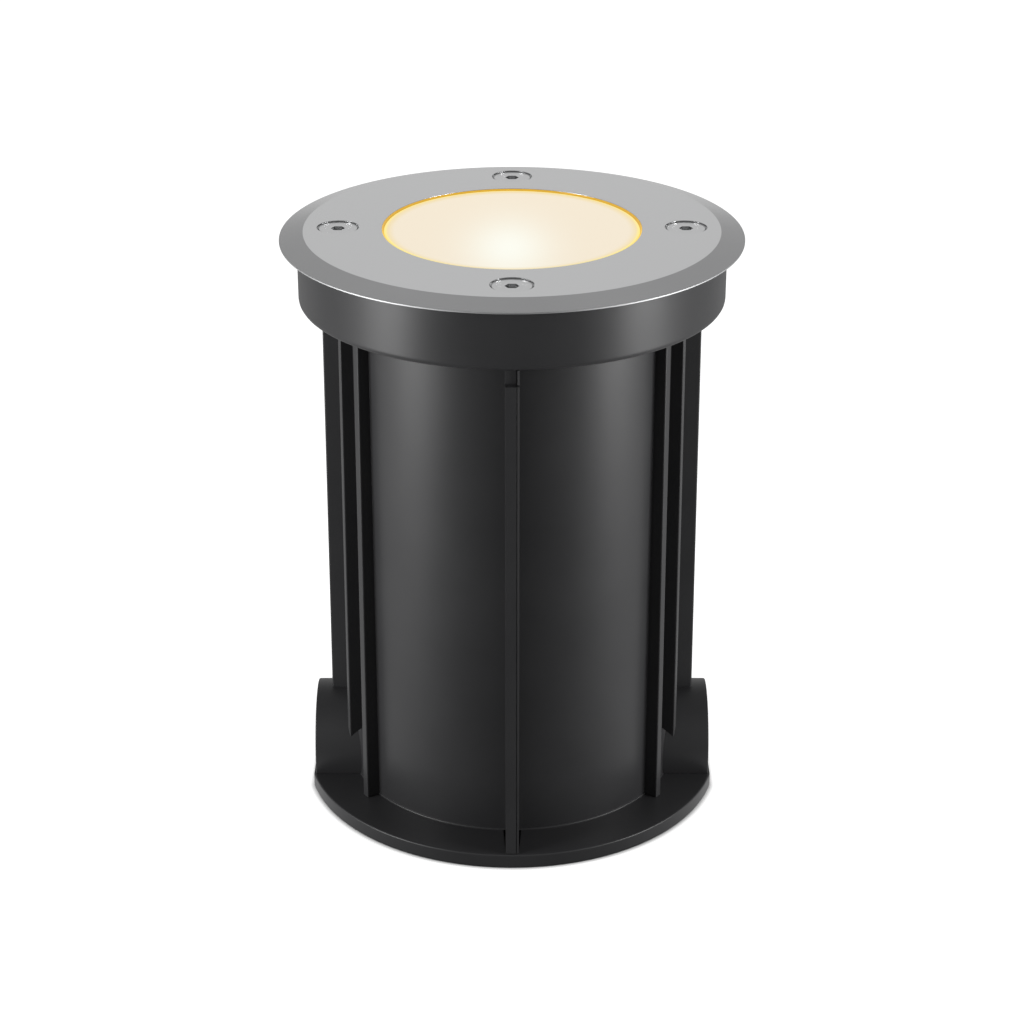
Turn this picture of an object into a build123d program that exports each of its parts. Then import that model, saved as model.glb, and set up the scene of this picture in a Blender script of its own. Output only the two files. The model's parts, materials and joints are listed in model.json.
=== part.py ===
from build123d import *
from math import cos, hypot, radians, sin, tan
import os

# In-ground well light. Millimetres, +Z up, origin at the centre of the base's underside.
# The front is -Y. Heights build up from the base, radii build out from the ground tube.

# Clearances
BODY_GAP = 0.3            # between pieces of two bodies that move apart
SHAFT_GAP = 0.05          # round a shaft or thread that runs in its hole
SEAT_GAP = 0.1            # round a piece that is set in a pocket of its own body
SCREW_HOLE_GAP = 0.4      # round a screw in a clearance hole

# Ground sleeve: base plate
BASE_R = 71.2
BASE_T = 5.0
BASE_CHAMFER = 0.6
BASE_FLAT_OUT = 0.8                  # from a hood's mouth out to the flat on that side
BASE_OPENING_R = 40.0

# Ground sleeve: tube, with its foot bead, fins, ribs and cable hoods
TUBE_R = 55.6
TUBE_WALL = 2.6
TUBE_H = 170.5
FOOT_BEAD = 1.1
OUTER_FIN_ANGLE = 56.0               # from the front, on each side, and the same from the back
INNER_FIN_ANGLE = 67.8
SIDE_FIN_ANGLE = 90.0
OUTER_FIN_DEPTH = 4.0                # how far each fin stands off the tube at its top
INNER_FIN_DEPTH = 4.0
SIDE_FIN_DEPTH = 6.5
FIN_SPREAD = 0.8                     # how much further it stands off at the foot
FIN_TOP_T = 3.2
FIN_FOOT_T = 2.0
RIB_LEFT = 2.1                       # the rib's width to the left and right of its plane
RIB_RIGHT = 2.4
RIB_EDGE_W = 0.8                     # the slanted strip down the rib's right edge
RIB_GROOVE_W = 0.25
RIB_GROOVE_D = 0.5
RIB_INSET = 0.6                      # from the base plate's rim to the rib's foot
RIB_NOTCH_H = 6.1                    # from the collar down to the rib's top face
RIB_NOTCH_D = 3.6
HOOD_R = 19.45
HOOD_WALL = 2.6
HOOD_RISE = 5.6                      # from the base plate up to the hood's axis
HOOD_SETBACK = 3.2                   # from the base plate's rim to the hood's mouth
HOOD_DRAFT = 0.3                     # degrees
FIN_HOOD_GAP = 7.2                   # from the hood to the ends of the inner fins

# Ground sleeve: collar
COLLAR_SKIRT = 1.0                   # how far the collar hangs below the tube's top
COLLAR_WALL = 3.5
COLLAR_FILLET = 1.5
COLLAR_BORE_GAP = 0.6
DECK_RISE = 10.9                     # from the tube's top to the deck's top
DECK_T = 4.0
HUB_WALL = 2.4                       # the part of the hub outside the tube
COLLAR_WEBS = 12
COLLAR_WEB_T = 1.6
COLLAR_WEB_ROOT = 0.5                # how far a web runs into the hub and into the wall
BOSS_R = 5.8
INSERT_R = 4.0
INSERT_L = 9.5
INSERT_GROOVE = 0.35
INSERT_GROOVE_SHARES = (0.3, 0.7)    # where its two grooves lie along it

# Ground sleeve: screws that hold the base plate to the tube
SLEEVE_BOSS_R = 4.5
SLEEVE_BOSS_H = 15.0
SLEEVE_BOSS_INSET = 3.5              # from the tube's bore to the boss's axis
SLEEVE_SCREW_R = 2.0
SLEEVE_SCREW_L = 14.0
SLEEVE_SCREW_HEAD_R = 3.6
SLEEVE_SCREW_HEAD_T = 2.4

# Housing
BARREL_GAP = 2.4                     # between the tube's bore and the barrel
BARREL_WALL = 3.2
HOUSING_DEPTH = 131.4                # from the deck down to the housing base's underside
FLANGE_T = 6.2
FLANGE_MARGIN = 9.3                  # from the screw circle to the flange's rim
FLANGE_GAP = 0.5
RECESS_WALL = 2.8
LIP_W = 4.8
LIP_T = 4.0
HOUSING_BASE_T = 7.0
HOUSING_SPIGOT_H = 2.0
HOUSING_BOSS_R = 4.4
HOUSING_BOSS_H = 10.0
HOUSING_BOSS_INSET = 3.2
HOUSING_SCREW_R = 2.0
HOUSING_SCREW_L = 14.0
HOUSING_SCREW_HEAD_R = 3.6
HOUSING_SCREW_HEAD_T = 2.4
BASE_SEAL_W = 1.6
BASE_SEAL_T = 1.0
BASE_SEAL_INSET = 0.8

# Cover: steel ring, glass and their seals
SCREW_CIRCLE_OUT = 5.5               # from the barrel's wall out to the screw circle
COVER_OVERHANG = 5.6                 # from the collar's wall out to the ring's rim
COVER_T = 3.0
COVER_EDGE_T = 0.6
COVER_BEVEL_W = 7.7
COVER_SPIGOT_H = 1.5
GASKET_W = 2.2
GASKET_T = 1.3
GASKET_PROUD = 0.3
GASKET_OUT = 1.0                     # from the recess's wall to the gasket
GLASS_T = 4.8
GLASS_STEP = 5.4
GLASS_DROP = 0.5                     # from the ring's top down to the glass
GLASS_EDGE = 0.4
GLASS_BEAD_W = 0.7
GLASS_BEAD_T = 0.4
GLASS_SEAL_T = 1.0
GLASS_SEAL_W = 3.0
GLASS_SEAL_WALL = 0.8
GLASS_SEAL_LIP = 3.8

# Cover screws: countersunk, hexagon socket
SCREW_R = 3.0
SCREW_ROOT_R = 2.55
SCREW_PITCH = 1.0
SCREW_L = 20.0
SCREW_SINK = 0.4
SCREW_HEAD_R = 6.2
SCREW_HEAD_LAND = 0.3
SCREW_HEAD_EDGE = 0.1
COUNTERSINK_R = 6.8
COUNTERSINK_LAND = 0.5
SOCKET_AF = 4.0
SOCKET_D = 2.4

# Small pan-head screws, and the ridges of every thread
SMALL_THREAD_PITCH = 0.7
SMALL_THREAD_DEPTH = 0.3
PAN_ROUND_SHARE = 0.4                # the head's rounding, as a share of its height
PAN_RECESS_SHARE = 0.5               # the cross recess's depth, as a share of the head's height
PAN_ARM_SHARE = 0.25                 # the recess's arms, as a share of the head's radius
RIDGE_GAP_SHARE = 0.1                # of the pitch, before and after each ridge
RIDGE_CREST_SHARE = 0.45             # of the pitch, up to the ridge's crest

# Reflector, lamp and lamp holder
REFLECTOR_T = 0.8
REFLECTOR_RIM_W = 3.6
REFLECTOR_TOP_GAP = 0.4
REFLECTOR_MOUTH_GAP = 1.2            # round the lamp's rim
LAMP_R = 25.0
LAMP_RIM_H = 4.5
LAMP_RIM_W = 1.2                     # from the flared shell out to the rim
LAMP_RIM_EASE = 1.6                  # height over which the shell meets the rim
LAMP_LEDGE_T = 1.0
LAMP_WALL = 1.2
LAMP_SHELL_H = 34.0
SHELL_FOOT_H = 2.0
SHELL_FOOT_FLARE = 0.3
LENS_T = 2.4
LENS_DROP = 0.6
LENS_CHAMFER = 0.4
NECK_R = 14.9
NECK_FOOT_R = 12.0
NECK_FOOT_H = 2.0
NECK_H = 20.0
NECK_STRAIGHT_H = 6.0
NECK_PLUG_H = 3.0
PIN_SPACING = 10.0
PIN_R = 1.6
PIN_HEAD_R = 2.5
PIN_L = 7.0
PIN_HEAD_H = 2.5
LAMP_TWIST = 35.0                    # degrees from locked to released
HOLDER_R = 15.0
HOLDER_H = 17.7
HOLDER_TOP_T = 2.5
HOLDER_ROUND = 1.0
HOLDER_CAVITY_D = 7.7
HOLDER_SCREW_Y = 11.0
HOLDER_SCREW_R = 1.5
HOLDER_SCREW_HEAD_R = 2.6
HOLDER_SCREW_HEAD_T = 1.8
HOLDER_SCREW_L = 16.0
HOLDER_SCREW_PAST = 3.0              # how far its tip stands out below the strap's underside
CONTACT_L = 4.0
CONTACT_W = 3.0
CONTACT_H = 4.5
BRACKET_H = 22.0
BRACKET_T = 1.5
BRACKET_W = 28.0
BRACKET_SPAN = 68.0
BRACKET_FOOT_L = 8.0
BRACKET_SCREW_R = 2.0
BRACKET_SCREW_L = 6.0
BRACKET_SCREW_HEAD_R = 3.5
BRACKET_SCREW_HEAD_T = 2.2

# Terminals, wires, earth and breather
TERMINAL_L = 20.0
TERMINAL_W = 16.0
TERMINAL_H = 14.0
TERMINAL_CHAMFER = 0.8
TERMINAL_WELL_D = 6.0
TERMINAL_PORT_RISE = 3.0
TERMINAL_PORT_H = 3.0
TERMINAL_SCREW_Y = 5.0
TERMINAL_SCREW_R = 1.9
TERMINAL_SCREW_L = 4.0
TERMINAL_SLOT_W = 0.6
TERMINAL_SLOT_D = 0.8
LEAD_R = 1.1
LEAD_HOLE_R = 2.0
EARTH_X = 24.0
EARTH_SCREW_R = 2.0
EARTH_SCREW_HEAD_R = 3.8
EARTH_SCREW_HEAD_T = 2.4
EARTH_SCREW_L = 6.0
EARTH_WASHER_R = 4.8
EARTH_WASHER_T = 0.8
BREATHER_X = -24.0
BREATHER_R = 3.0
BREATHER_AF = 11.0
BREATHER_HEAD_T = 4.0
BREATHER_BORE_R = 0.8

# Cable glands, one before and one behind the lamp's axis
GLAND_Y = 22.0
GLAND_STEM_R = 8.0
GLAND_AF = 20.0
GLAND_FLANGE_T = 5.0
GLAND_LOWER_R = 7.6
GLAND_LOWER_L = 12.0
GLAND_BORE_R = 6.0
LOCKNUT_AF = 22.0
LOCKNUT_T = 5.0
STEM_PROUD = 1.0
ORING_W = 1.4
ORING_T = 1.0
CABLE_BORE_R = 4.2
CABLE_SEAL_L = 14.0
NUT_L = 12.0
NUT_DROP = 2.0                       # from the gland's flange down to the nut
NUT_DOME_H = 5.0
NUT_DOME_R = 6.5
NUT_DOME_STEP = 0.4
NUT_MOUTH_R = 4.8
THREAD_DEPTH = 0.45
THREAD_PITCH = 1.5

# Heights, from the ground up
TUBE_TOP = BASE_T + TUBE_H
COLLAR_BOTTOM = TUBE_TOP - COLLAR_SKIRT
DECK_TOP = TUBE_TOP + DECK_RISE
FLANGE_TOP = DECK_TOP + FLANGE_T
SPIGOT_BOTTOM = FLANGE_TOP + GASKET_PROUD
COVER_BOTTOM = SPIGOT_BOTTOM + COVER_SPIGOT_H
COVER_TOP = COVER_BOTTOM + COVER_T
COLLAR_TOP = COVER_BOTTOM - BODY_GAP
GLASS_TOP = COVER_TOP - GLASS_DROP
GLASS_SHOULDER = COVER_BOTTOM - GLASS_BEAD_T
GLASS_BOTTOM = GLASS_SHOULDER - GLASS_T
REFLECTOR_TOP = GLASS_BOTTOM - GLASS_SEAL_T
LIP_TOP = REFLECTOR_TOP - REFLECTOR_T
SCREW_TOP = COVER_TOP - SCREW_SINK
HOUSING_UNDER = DECK_TOP - HOUSING_DEPTH
BARREL_BOTTOM = HOUSING_UNDER + HOUSING_BASE_T
INNER_FLOOR = BARREL_BOTTOM + HOUSING_SPIGOT_H
BRACKET_TOP = INNER_FLOOR + BRACKET_H
HOLDER_TOP = BRACKET_TOP + HOLDER_H
HOLDER_SCREW_SEAT = BRACKET_TOP - BRACKET_T - HOLDER_SCREW_PAST + HOLDER_SCREW_L
LAMP_FOOT = HOLDER_TOP + BODY_GAP
LAMP_NECK_TOP = LAMP_FOOT + NECK_H
LAMP_FACE = LAMP_NECK_TOP + LAMP_SHELL_H
TERMINAL_TOP = INNER_FLOOR + TERMINAL_H
CONTACT_BOTTOM = HOLDER_TOP - HOLDER_TOP_T - HOLDER_CAVITY_D - CONTACT_H
GLAND_FLANGE_BOTTOM = HOUSING_UNDER - GLAND_FLANGE_T
GLAND_STEM_BOTTOM = GLAND_FLANGE_BOTTOM - GLAND_LOWER_L
STEM_TOP = INNER_FLOOR + LOCKNUT_T + STEM_PROUD

# Radii, from the tube out and in
TUBE_BORE_R = TUBE_R - TUBE_WALL
BARREL_R = TUBE_BORE_R - BARREL_GAP
BARREL_BORE_R = BARREL_R - BARREL_WALL
SCREW_CIRCLE_R = BARREL_R + SCREW_CIRCLE_OUT
FLANGE_R = SCREW_CIRCLE_R + FLANGE_MARGIN
COLLAR_POCKET_R = FLANGE_R + FLANGE_GAP
COLLAR_R = COLLAR_POCKET_R + COLLAR_WALL
COVER_R = COLLAR_R + COVER_OVERHANG
RECESS_R = BARREL_R - RECESS_WALL
LIP_R = RECESS_R - LIP_W
GLASS_R = RECESS_R - BODY_GAP - GLASS_SEAL_WALL - SEAT_GAP
GLASS_FACE_R = GLASS_R - GLASS_STEP
COVER_OPENING_R = GLASS_FACE_R + GLASS_BEAD_W
GASKET_R = RECESS_R + GASKET_OUT
SPIGOT_R = FLANGE_R
REFLECTOR_R = LIP_R - REFLECTOR_TOP_GAP
REFLECTOR_MOUTH_R = LAMP_R + REFLECTOR_MOUTH_GAP
RIB_FOOT_R = BASE_R - RIB_INSET
RIB_TOP_R = RIB_FOOT_R - FIN_SPREAD
HOOD_REACH = BASE_R - HOOD_SETBACK
HOOD_AXIS_Z = BASE_T + HOOD_RISE
HOUSING_BOSS_CIRCLE_R = BARREL_BORE_R - HOUSING_BOSS_INSET
SLEEVE_BOSS_CIRCLE_R = TUBE_BORE_R - SLEEVE_BOSS_INSET

QUARTERS = (0, 90, 180, 270)
DIAGONALS = (45, 135, 225, 315)


def post(radius, low, high, x=0.0, y=0.0):
    """A round bar standing between two heights."""
    return Pos(x, y, low) * Cylinder(radius, high - low, align=(Align.CENTER, Align.CENTER, Align.MIN))


def ring(outer, inner, low, high, x=0.0, y=0.0):
    """A round bar with a bore."""
    return post(outer, low, high, x, y) - post(inner, low, high, x, y)


def hex_bar(across_flats, low, high, x=0.0, y=0.0):
    """A hexagonal bar standing between two heights."""
    profile = RegularPolygon(across_flats / 2, 6, major_radius=False)
    return Pos(x, y, low) * extrude(profile, high - low)


def block(x_size, y_size, low, high, x=0.0, y=0.0):
    """A rectangular block standing between two heights."""
    return Pos(x, y, low) * Box(x_size, y_size, high - low, align=(Align.CENTER, Align.CENTER, Align.MIN))


def turned(points):
    """A turned piece, from its half section given as radius and height."""
    return revolve(Plane.XZ * make_face(Polyline(*points, close=True)), Axis.Z)


def threaded(radius, root, pitch, low, high, x=0.0, y=0.0):
    """A shank with thread ridges from its lower end to its upper end."""
    points = [(0, low), (root, low)]
    turns = int((high - low) / pitch)
    gap = RIDGE_GAP_SHARE * pitch
    crest = RIDGE_CREST_SHARE * pitch
    for turn in range(turns):
        foot = low + turn * pitch
        points += [(root, foot + gap), (radius, foot + crest)]
        points += [(radius, foot + pitch - crest), (root, foot + pitch - gap)]
    points += [(root, high), (0, high)]
    return Pos(x, y, 0) * turned(points)


def pan_screw(radius, length, head_r, head_t, seat):
    """A pan-head screw that points down from its seat, with a cross recess."""
    shank = threaded(radius, radius - SMALL_THREAD_DEPTH, SMALL_THREAD_PITCH, seat - length, seat)
    head_top = seat + head_t
    head = post(head_r, seat, head_top)
    head = fillet(head.edges().sort_by(Axis.Z)[-1], PAN_ROUND_SHARE * head_t)
    arm = block(head_r, PAN_ARM_SHARE * head_r, head_top - PAN_RECESS_SHARE * head_t, head_top)
    return shank + head - arm - Rot(0, 0, 90) * arm


def pan_screw_from_below(radius, length, head_r, head_t, seat):
    """The same screw, pointing up from its seat."""
    return Pos(0, 0, seat) * Rot(180, 0, 0) * pan_screw(radius, length, head_r, head_t, 0.0)


def at_angle(angle, radius):
    """A place on a circle, with its angle from +X."""
    return Pos(radius * cos(radians(angle)), radius * sin(radians(angle)), 0)


def facing(angle):
    """A turn that carries +X to the direction at this angle from the front."""
    return Rot(0, 0, angle - 90)


def base_plate():
    disc = post(BASE_R, 0, BASE_T) & block(2 * (HOOD_REACH + BASE_FLAT_OUT), 2 * BASE_R, 0, BASE_T)
    disc = chamfer(disc.faces().sort_by(Axis.Z)[0].edges(), BASE_CHAMFER)
    plate = disc - post(BASE_OPENING_R, 0, BASE_T)
    head_seat = SLEEVE_SCREW_HEAD_T + BODY_GAP
    for angle in DIAGONALS:
        place = at_angle(angle, SLEEVE_BOSS_CIRCLE_R)
        plate -= place * post(SLEEVE_SCREW_R + SCREW_HOLE_GAP, 0, BASE_T)
        plate -= place * post(SLEEVE_SCREW_HEAD_R + SCREW_HOLE_GAP, 0, head_seat)
    return plate


def fin(angle, depth):
    """A thin radial fin that is drafted in depth and thickness."""
    root = TUBE_R - 0.5 * TUBE_WALL
    head_r = TUBE_R + depth
    foot_r = head_r + FIN_SPREAD
    foot = Pos((root + foot_r) / 2, 0, BASE_T) * Rectangle(foot_r - root, FIN_FOOT_T)
    head = Pos((root + head_r) / 2, 0, COLLAR_BOTTOM) * Rectangle(head_r - root, FIN_TOP_T)
    return facing(angle) * loft([foot, head])


def rib_outline(face_r, edge_r, height):
    """The rib's section: a flat face, a fine groove and a slanted strip at its right edge."""
    root = TUBE_R - 0.5 * TUBE_WALL
    strip = RIB_RIGHT - RIB_EDGE_W
    groove = strip - RIB_GROOVE_W
    points = [(root, -RIB_LEFT), (face_r, -RIB_LEFT), (face_r, groove)]
    points += [(face_r - RIB_GROOVE_D, groove), (face_r - RIB_GROOVE_D, strip)]
    points += [(edge_r, strip), (edge_r - RIB_EDGE_W, RIB_RIGHT), (root, RIB_RIGHT)]
    return Pos(0, 0, height) * make_face(Polyline(*points, close=True))


def rib(angle):
    """A deep rib at the front or back, notched under the collar."""
    notch = COLLAR_BOTTOM - RIB_NOTCH_H
    lower = loft([rib_outline(RIB_FOOT_R, RIB_FOOT_R, BASE_T), rib_outline(RIB_TOP_R, RIB_TOP_R, notch)])
    inner_r = RIB_TOP_R - RIB_NOTCH_D
    edge_r = min(RIB_TOP_R, COLLAR_R) - RIB_GROOVE_D
    upper = extrude(rib_outline(inner_r, edge_r, notch), RIB_NOTCH_H)
    return facing(angle) * (lower + upper)


def hood_cone(radius, length):
    """A drafted cone along +X, with its given radius at the hood's mouth."""
    inner_end = radius + length * tan(radians(HOOD_DRAFT))
    cone = Cone(inner_end, radius, length, align=(Align.CENTER, Align.CENTER, Align.MIN))
    return Pos(0, 0, HOOD_AXIS_Z) * Rot(0, 90, 0) * cone


def sleeve_tube():
    tube = post(TUBE_R, BASE_T, TUBE_TOP)
    tube += turned([(TUBE_BORE_R, BASE_T), (TUBE_R + FOOT_BEAD, BASE_T),
                    (TUBE_R + FOOT_BEAD, BASE_T + 0.4 * FOOT_BEAD),
                    (TUBE_R, BASE_T + 1.4 * FOOT_BEAD), (TUBE_BORE_R, BASE_T + 1.4 * FOOT_BEAD)])
    clearing = Pos(0, 0, HOOD_AXIS_Z) * Rot(0, 90, 0) * Cylinder(HOOD_R + FIN_HOOD_GAP, 4 * BASE_R)
    for side in (1, -1):
        tube += fin(side * SIDE_FIN_ANGLE, SIDE_FIN_DEPTH)
        for angle, depth in ((OUTER_FIN_ANGLE, OUTER_FIN_DEPTH), (INNER_FIN_ANGLE, INNER_FIN_DEPTH)):
            tube += fin(side * angle, depth) - clearing
            tube += fin(side * (180 - angle), depth) - clearing
    for angle in (0, 180):
        tube += rib(angle)
    below = block(4 * BASE_R, 4 * BASE_R, -2 * HOOD_R, BASE_T)
    tunnel = Pos(0, 0, HOOD_AXIS_Z) * Rot(0, 90, 0) * Cylinder(HOOD_R - HOOD_WALL, 4 * BASE_R)
    for turn in (0, 180):
        tube += Rot(0, 0, turn) * (hood_cone(HOOD_R, HOOD_REACH) - below)
    bore = post(TUBE_BORE_R, BASE_T, TUBE_TOP)
    tube = tube - bore - (tunnel - below)
    boss = post(SLEEVE_BOSS_R, BASE_T, BASE_T + SLEEVE_BOSS_H)
    hole = post(SLEEVE_SCREW_R + SHAFT_GAP, BASE_T, BASE_T + SLEEVE_SCREW_L)
    for angle in DIAGONALS:
        place = at_angle(angle, SLEEVE_BOSS_CIRCLE_R)
        tube = tube + place * boss - place * hole
    return tube


def sleeve_screws():
    screw = pan_screw_from_below(SLEEVE_SCREW_R, SLEEVE_SCREW_L, SLEEVE_SCREW_HEAD_R,
                                 SLEEVE_SCREW_HEAD_T, SLEEVE_SCREW_HEAD_T + BODY_GAP)
    return [at_angle(angle, SLEEVE_BOSS_CIRCLE_R) * screw for angle in DIAGONALS]


def collar():
    hub_bore = BARREL_R + COLLAR_BORE_GAP
    hub_r = TUBE_R + HUB_WALL
    deck_under = DECK_TOP - DECK_T
    shell = post(COLLAR_R, COLLAR_BOTTOM, COLLAR_TOP)
    shell = fillet(shell.edges().filter_by(GeomType.CIRCLE).sort_by(Axis.Z)[0], COLLAR_FILLET)
    shell -= post(COLLAR_POCKET_R, DECK_TOP, COLLAR_TOP)
    shell -= ring(COLLAR_POCKET_R, hub_r, COLLAR_BOTTOM, deck_under)
    shell -= post(TUBE_R + SEAT_GAP, COLLAR_BOTTOM, TUBE_TOP)
    web_len = COLLAR_POCKET_R - hub_r + 2 * COLLAR_WEB_ROOT
    web_x = (COLLAR_POCKET_R + hub_r) / 2
    for index in range(COLLAR_WEBS):
        web = block(web_len, COLLAR_WEB_T, TUBE_TOP, deck_under, web_x)
        shell += Rot(0, 0, (index + 0.5) * 360 / COLLAR_WEBS) * web
    for angle in QUARTERS:
        shell += at_angle(angle, SCREW_CIRCLE_R) * post(BOSS_R, TUBE_TOP, deck_under)
    shell -= post(hub_bore, COLLAR_BOTTOM, DECK_TOP)
    insert_hole = post(INSERT_R + SEAT_GAP / 2, DECK_TOP - INSERT_L - SEAT_GAP, DECK_TOP)
    for angle in QUARTERS:
        shell -= at_angle(angle, SCREW_CIRCLE_R) * insert_hole
    return shell


def threaded_inserts():
    low = DECK_TOP - INSERT_L
    insert = ring(INSERT_R, SCREW_R + SHAFT_GAP, low, DECK_TOP)
    for share in INSERT_GROOVE_SHARES:
        middle = low + share * INSERT_L
        insert -= ring(INSERT_R, INSERT_R - INSERT_GROOVE, middle - INSERT_GROOVE, middle + INSERT_GROOVE)
    return [at_angle(angle, SCREW_CIRCLE_R) * insert for angle in QUARTERS]


def housing_barrel():
    barrel = turned([(BARREL_BORE_R, BARREL_BOTTOM), (BARREL_R, BARREL_BOTTOM), (BARREL_R, DECK_TOP),
                     (FLANGE_R, DECK_TOP), (FLANGE_R, FLANGE_TOP), (RECESS_R, FLANGE_TOP),
                     (RECESS_R, LIP_TOP), (LIP_R, LIP_TOP), (LIP_R, LIP_TOP - LIP_T),
                     (BARREL_BORE_R, LIP_TOP - LIP_T)])
    for angle in DIAGONALS:
        boss = post(HOUSING_BOSS_R, INNER_FLOOR + BODY_GAP, INNER_FLOOR + BODY_GAP + HOUSING_BOSS_H)
        barrel += at_angle(angle, HOUSING_BOSS_CIRCLE_R) * boss & post(BARREL_R, BARREL_BOTTOM, FLANGE_TOP)
        hole = post(HOUSING_SCREW_R + SHAFT_GAP, INNER_FLOOR, INNER_FLOOR + BODY_GAP + HOUSING_BOSS_H)
        barrel -= at_angle(angle, HOUSING_BOSS_CIRCLE_R) * hole
    for angle in QUARTERS:
        barrel -= at_angle(angle, SCREW_CIRCLE_R) * post(SCREW_R + SCREW_HOLE_GAP, DECK_TOP, FLANGE_TOP)
    groove_bottom = SPIGOT_BOTTOM - GASKET_T
    barrel -= ring(GASKET_R + GASKET_W, GASKET_R, groove_bottom, FLANGE_TOP)
    return barrel


def housing_base():
    disc = post(BARREL_R, HOUSING_UNDER, BARREL_BOTTOM)
    disc += post(BARREL_BORE_R - SEAT_GAP, BARREL_BOTTOM, INNER_FLOOR)
    seal_r = BARREL_R - BASE_SEAL_INSET
    disc -= ring(seal_r, seal_r - BASE_SEAL_W, BARREL_BOTTOM - BASE_SEAL_T, BARREL_BOTTOM)
    for angle in DIAGONALS:
        place = at_angle(angle, HOUSING_BOSS_CIRCLE_R)
        disc -= place * post(HOUSING_SCREW_R + SCREW_HOLE_GAP, HOUSING_UNDER, INNER_FLOOR)
        head_seat = HOUSING_UNDER + HOUSING_SCREW_HEAD_T
        disc -= place * post(HOUSING_SCREW_HEAD_R + SCREW_HOLE_GAP, HOUSING_UNDER, head_seat)
    for y in (GLAND_Y, -GLAND_Y):
        disc -= post(GLAND_STEM_R + SEAT_GAP, HOUSING_UNDER, INNER_FLOOR, 0, y)
    disc -= post(BREATHER_R + SEAT_GAP, HOUSING_UNDER, INNER_FLOOR, BREATHER_X)
    disc -= post(EARTH_SCREW_R + SHAFT_GAP, INNER_FLOOR - EARTH_SCREW_L, INNER_FLOOR, EARTH_X)
    for side in (1, -1):
        foot_x = side * (BRACKET_SPAN + BRACKET_FOOT_L) / 2
        disc -= post(BRACKET_SCREW_R + SHAFT_GAP, INNER_FLOOR - BRACKET_SCREW_L, INNER_FLOOR, foot_x)
    return disc


def base_seal():
    outer = BARREL_R - BASE_SEAL_INSET
    return ring(outer, outer - BASE_SEAL_W, BARREL_BOTTOM - BASE_SEAL_T, BARREL_BOTTOM)


def base_screws():
    screw = pan_screw_from_below(HOUSING_SCREW_R, HOUSING_SCREW_L, HOUSING_SCREW_HEAD_R,
                                 HOUSING_SCREW_HEAD_T, HOUSING_UNDER + HOUSING_SCREW_HEAD_T)
    return [at_angle(angle, HOUSING_BOSS_CIRCLE_R) * screw for angle in DIAGONALS]


def cover_gasket():
    return ring(GASKET_R + GASKET_W, GASKET_R, SPIGOT_BOTTOM - GASKET_T, SPIGOT_BOTTOM)


def cover_ring():
    edge_z = COVER_BOTTOM + COVER_EDGE_T
    steel = turned([(COVER_OPENING_R, COVER_BOTTOM), (GASKET_R, COVER_BOTTOM),
                    (GASKET_R, SPIGOT_BOTTOM), (SPIGOT_R, SPIGOT_BOTTOM),
                    (SPIGOT_R, COVER_BOTTOM), (COVER_R, COVER_BOTTOM), (COVER_R, edge_z),
                    (COVER_R - COVER_BEVEL_W, COVER_TOP), (COVER_OPENING_R, COVER_TOP)])
    hole_r = SCREW_R + SCREW_HOLE_GAP
    cone_top = COVER_TOP - COUNTERSINK_LAND
    cone_bottom = cone_top - (COUNTERSINK_R - hole_r)
    sink = turned([(0, SPIGOT_BOTTOM), (hole_r, SPIGOT_BOTTOM), (hole_r, cone_bottom),
                   (COUNTERSINK_R, cone_top), (COUNTERSINK_R, COVER_TOP), (0, COVER_TOP)])
    for angle in QUARTERS:
        steel -= at_angle(angle, SCREW_CIRCLE_R) * sink
    return steel


def glass():
    disc = turned([(0, GLASS_BOTTOM), (GLASS_R, GLASS_BOTTOM), (GLASS_R, GLASS_SHOULDER),
                   (GLASS_FACE_R, GLASS_SHOULDER), (GLASS_FACE_R, GLASS_TOP - GLASS_EDGE),
                   (GLASS_FACE_R - GLASS_EDGE, GLASS_TOP), (0, GLASS_TOP)])
    return disc


def glass_bead():
    bead_top = GLASS_TOP - GLASS_EDGE / 2
    return turned([(GLASS_FACE_R, GLASS_SHOULDER), (GLASS_R, GLASS_SHOULDER), (GLASS_R, COVER_BOTTOM),
                   (COVER_OPENING_R, COVER_BOTTOM), (COVER_OPENING_R, bead_top),
                   (GLASS_FACE_R, GLASS_TOP - GLASS_EDGE)])


def glass_seal():
    outer = RECESS_R - BODY_GAP
    wall = outer - GLASS_SEAL_WALL
    wall_top = GLASS_BOTTOM + GLASS_SEAL_LIP
    return turned([(GLASS_R - GLASS_SEAL_W, REFLECTOR_TOP), (outer, REFLECTOR_TOP), (outer, wall_top),
                   (wall, wall_top), (wall, GLASS_BOTTOM), (GLASS_R - GLASS_SEAL_W, GLASS_BOTTOM)])


def cover_screw(angle):
    cone_top = SCREW_TOP - SCREW_HEAD_LAND
    cone_bottom = cone_top - (SCREW_HEAD_R - SCREW_R)
    head = turned([(0, cone_bottom), (SCREW_R, cone_bottom), (SCREW_HEAD_R, cone_top),
                   (SCREW_HEAD_R, SCREW_TOP - SCREW_HEAD_EDGE),
                   (SCREW_HEAD_R - SCREW_HEAD_EDGE, SCREW_TOP), (0, SCREW_TOP)])
    shank_bottom = SCREW_TOP - SCREW_L
    shank = threaded(SCREW_R, SCREW_ROOT_R, SCREW_PITCH, shank_bottom, cone_bottom)
    socket = hex_bar(SOCKET_AF, SCREW_TOP - SOCKET_D, SCREW_TOP)
    return at_angle(angle, SCREW_CIRCLE_R) * (head + shank - socket)


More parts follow.
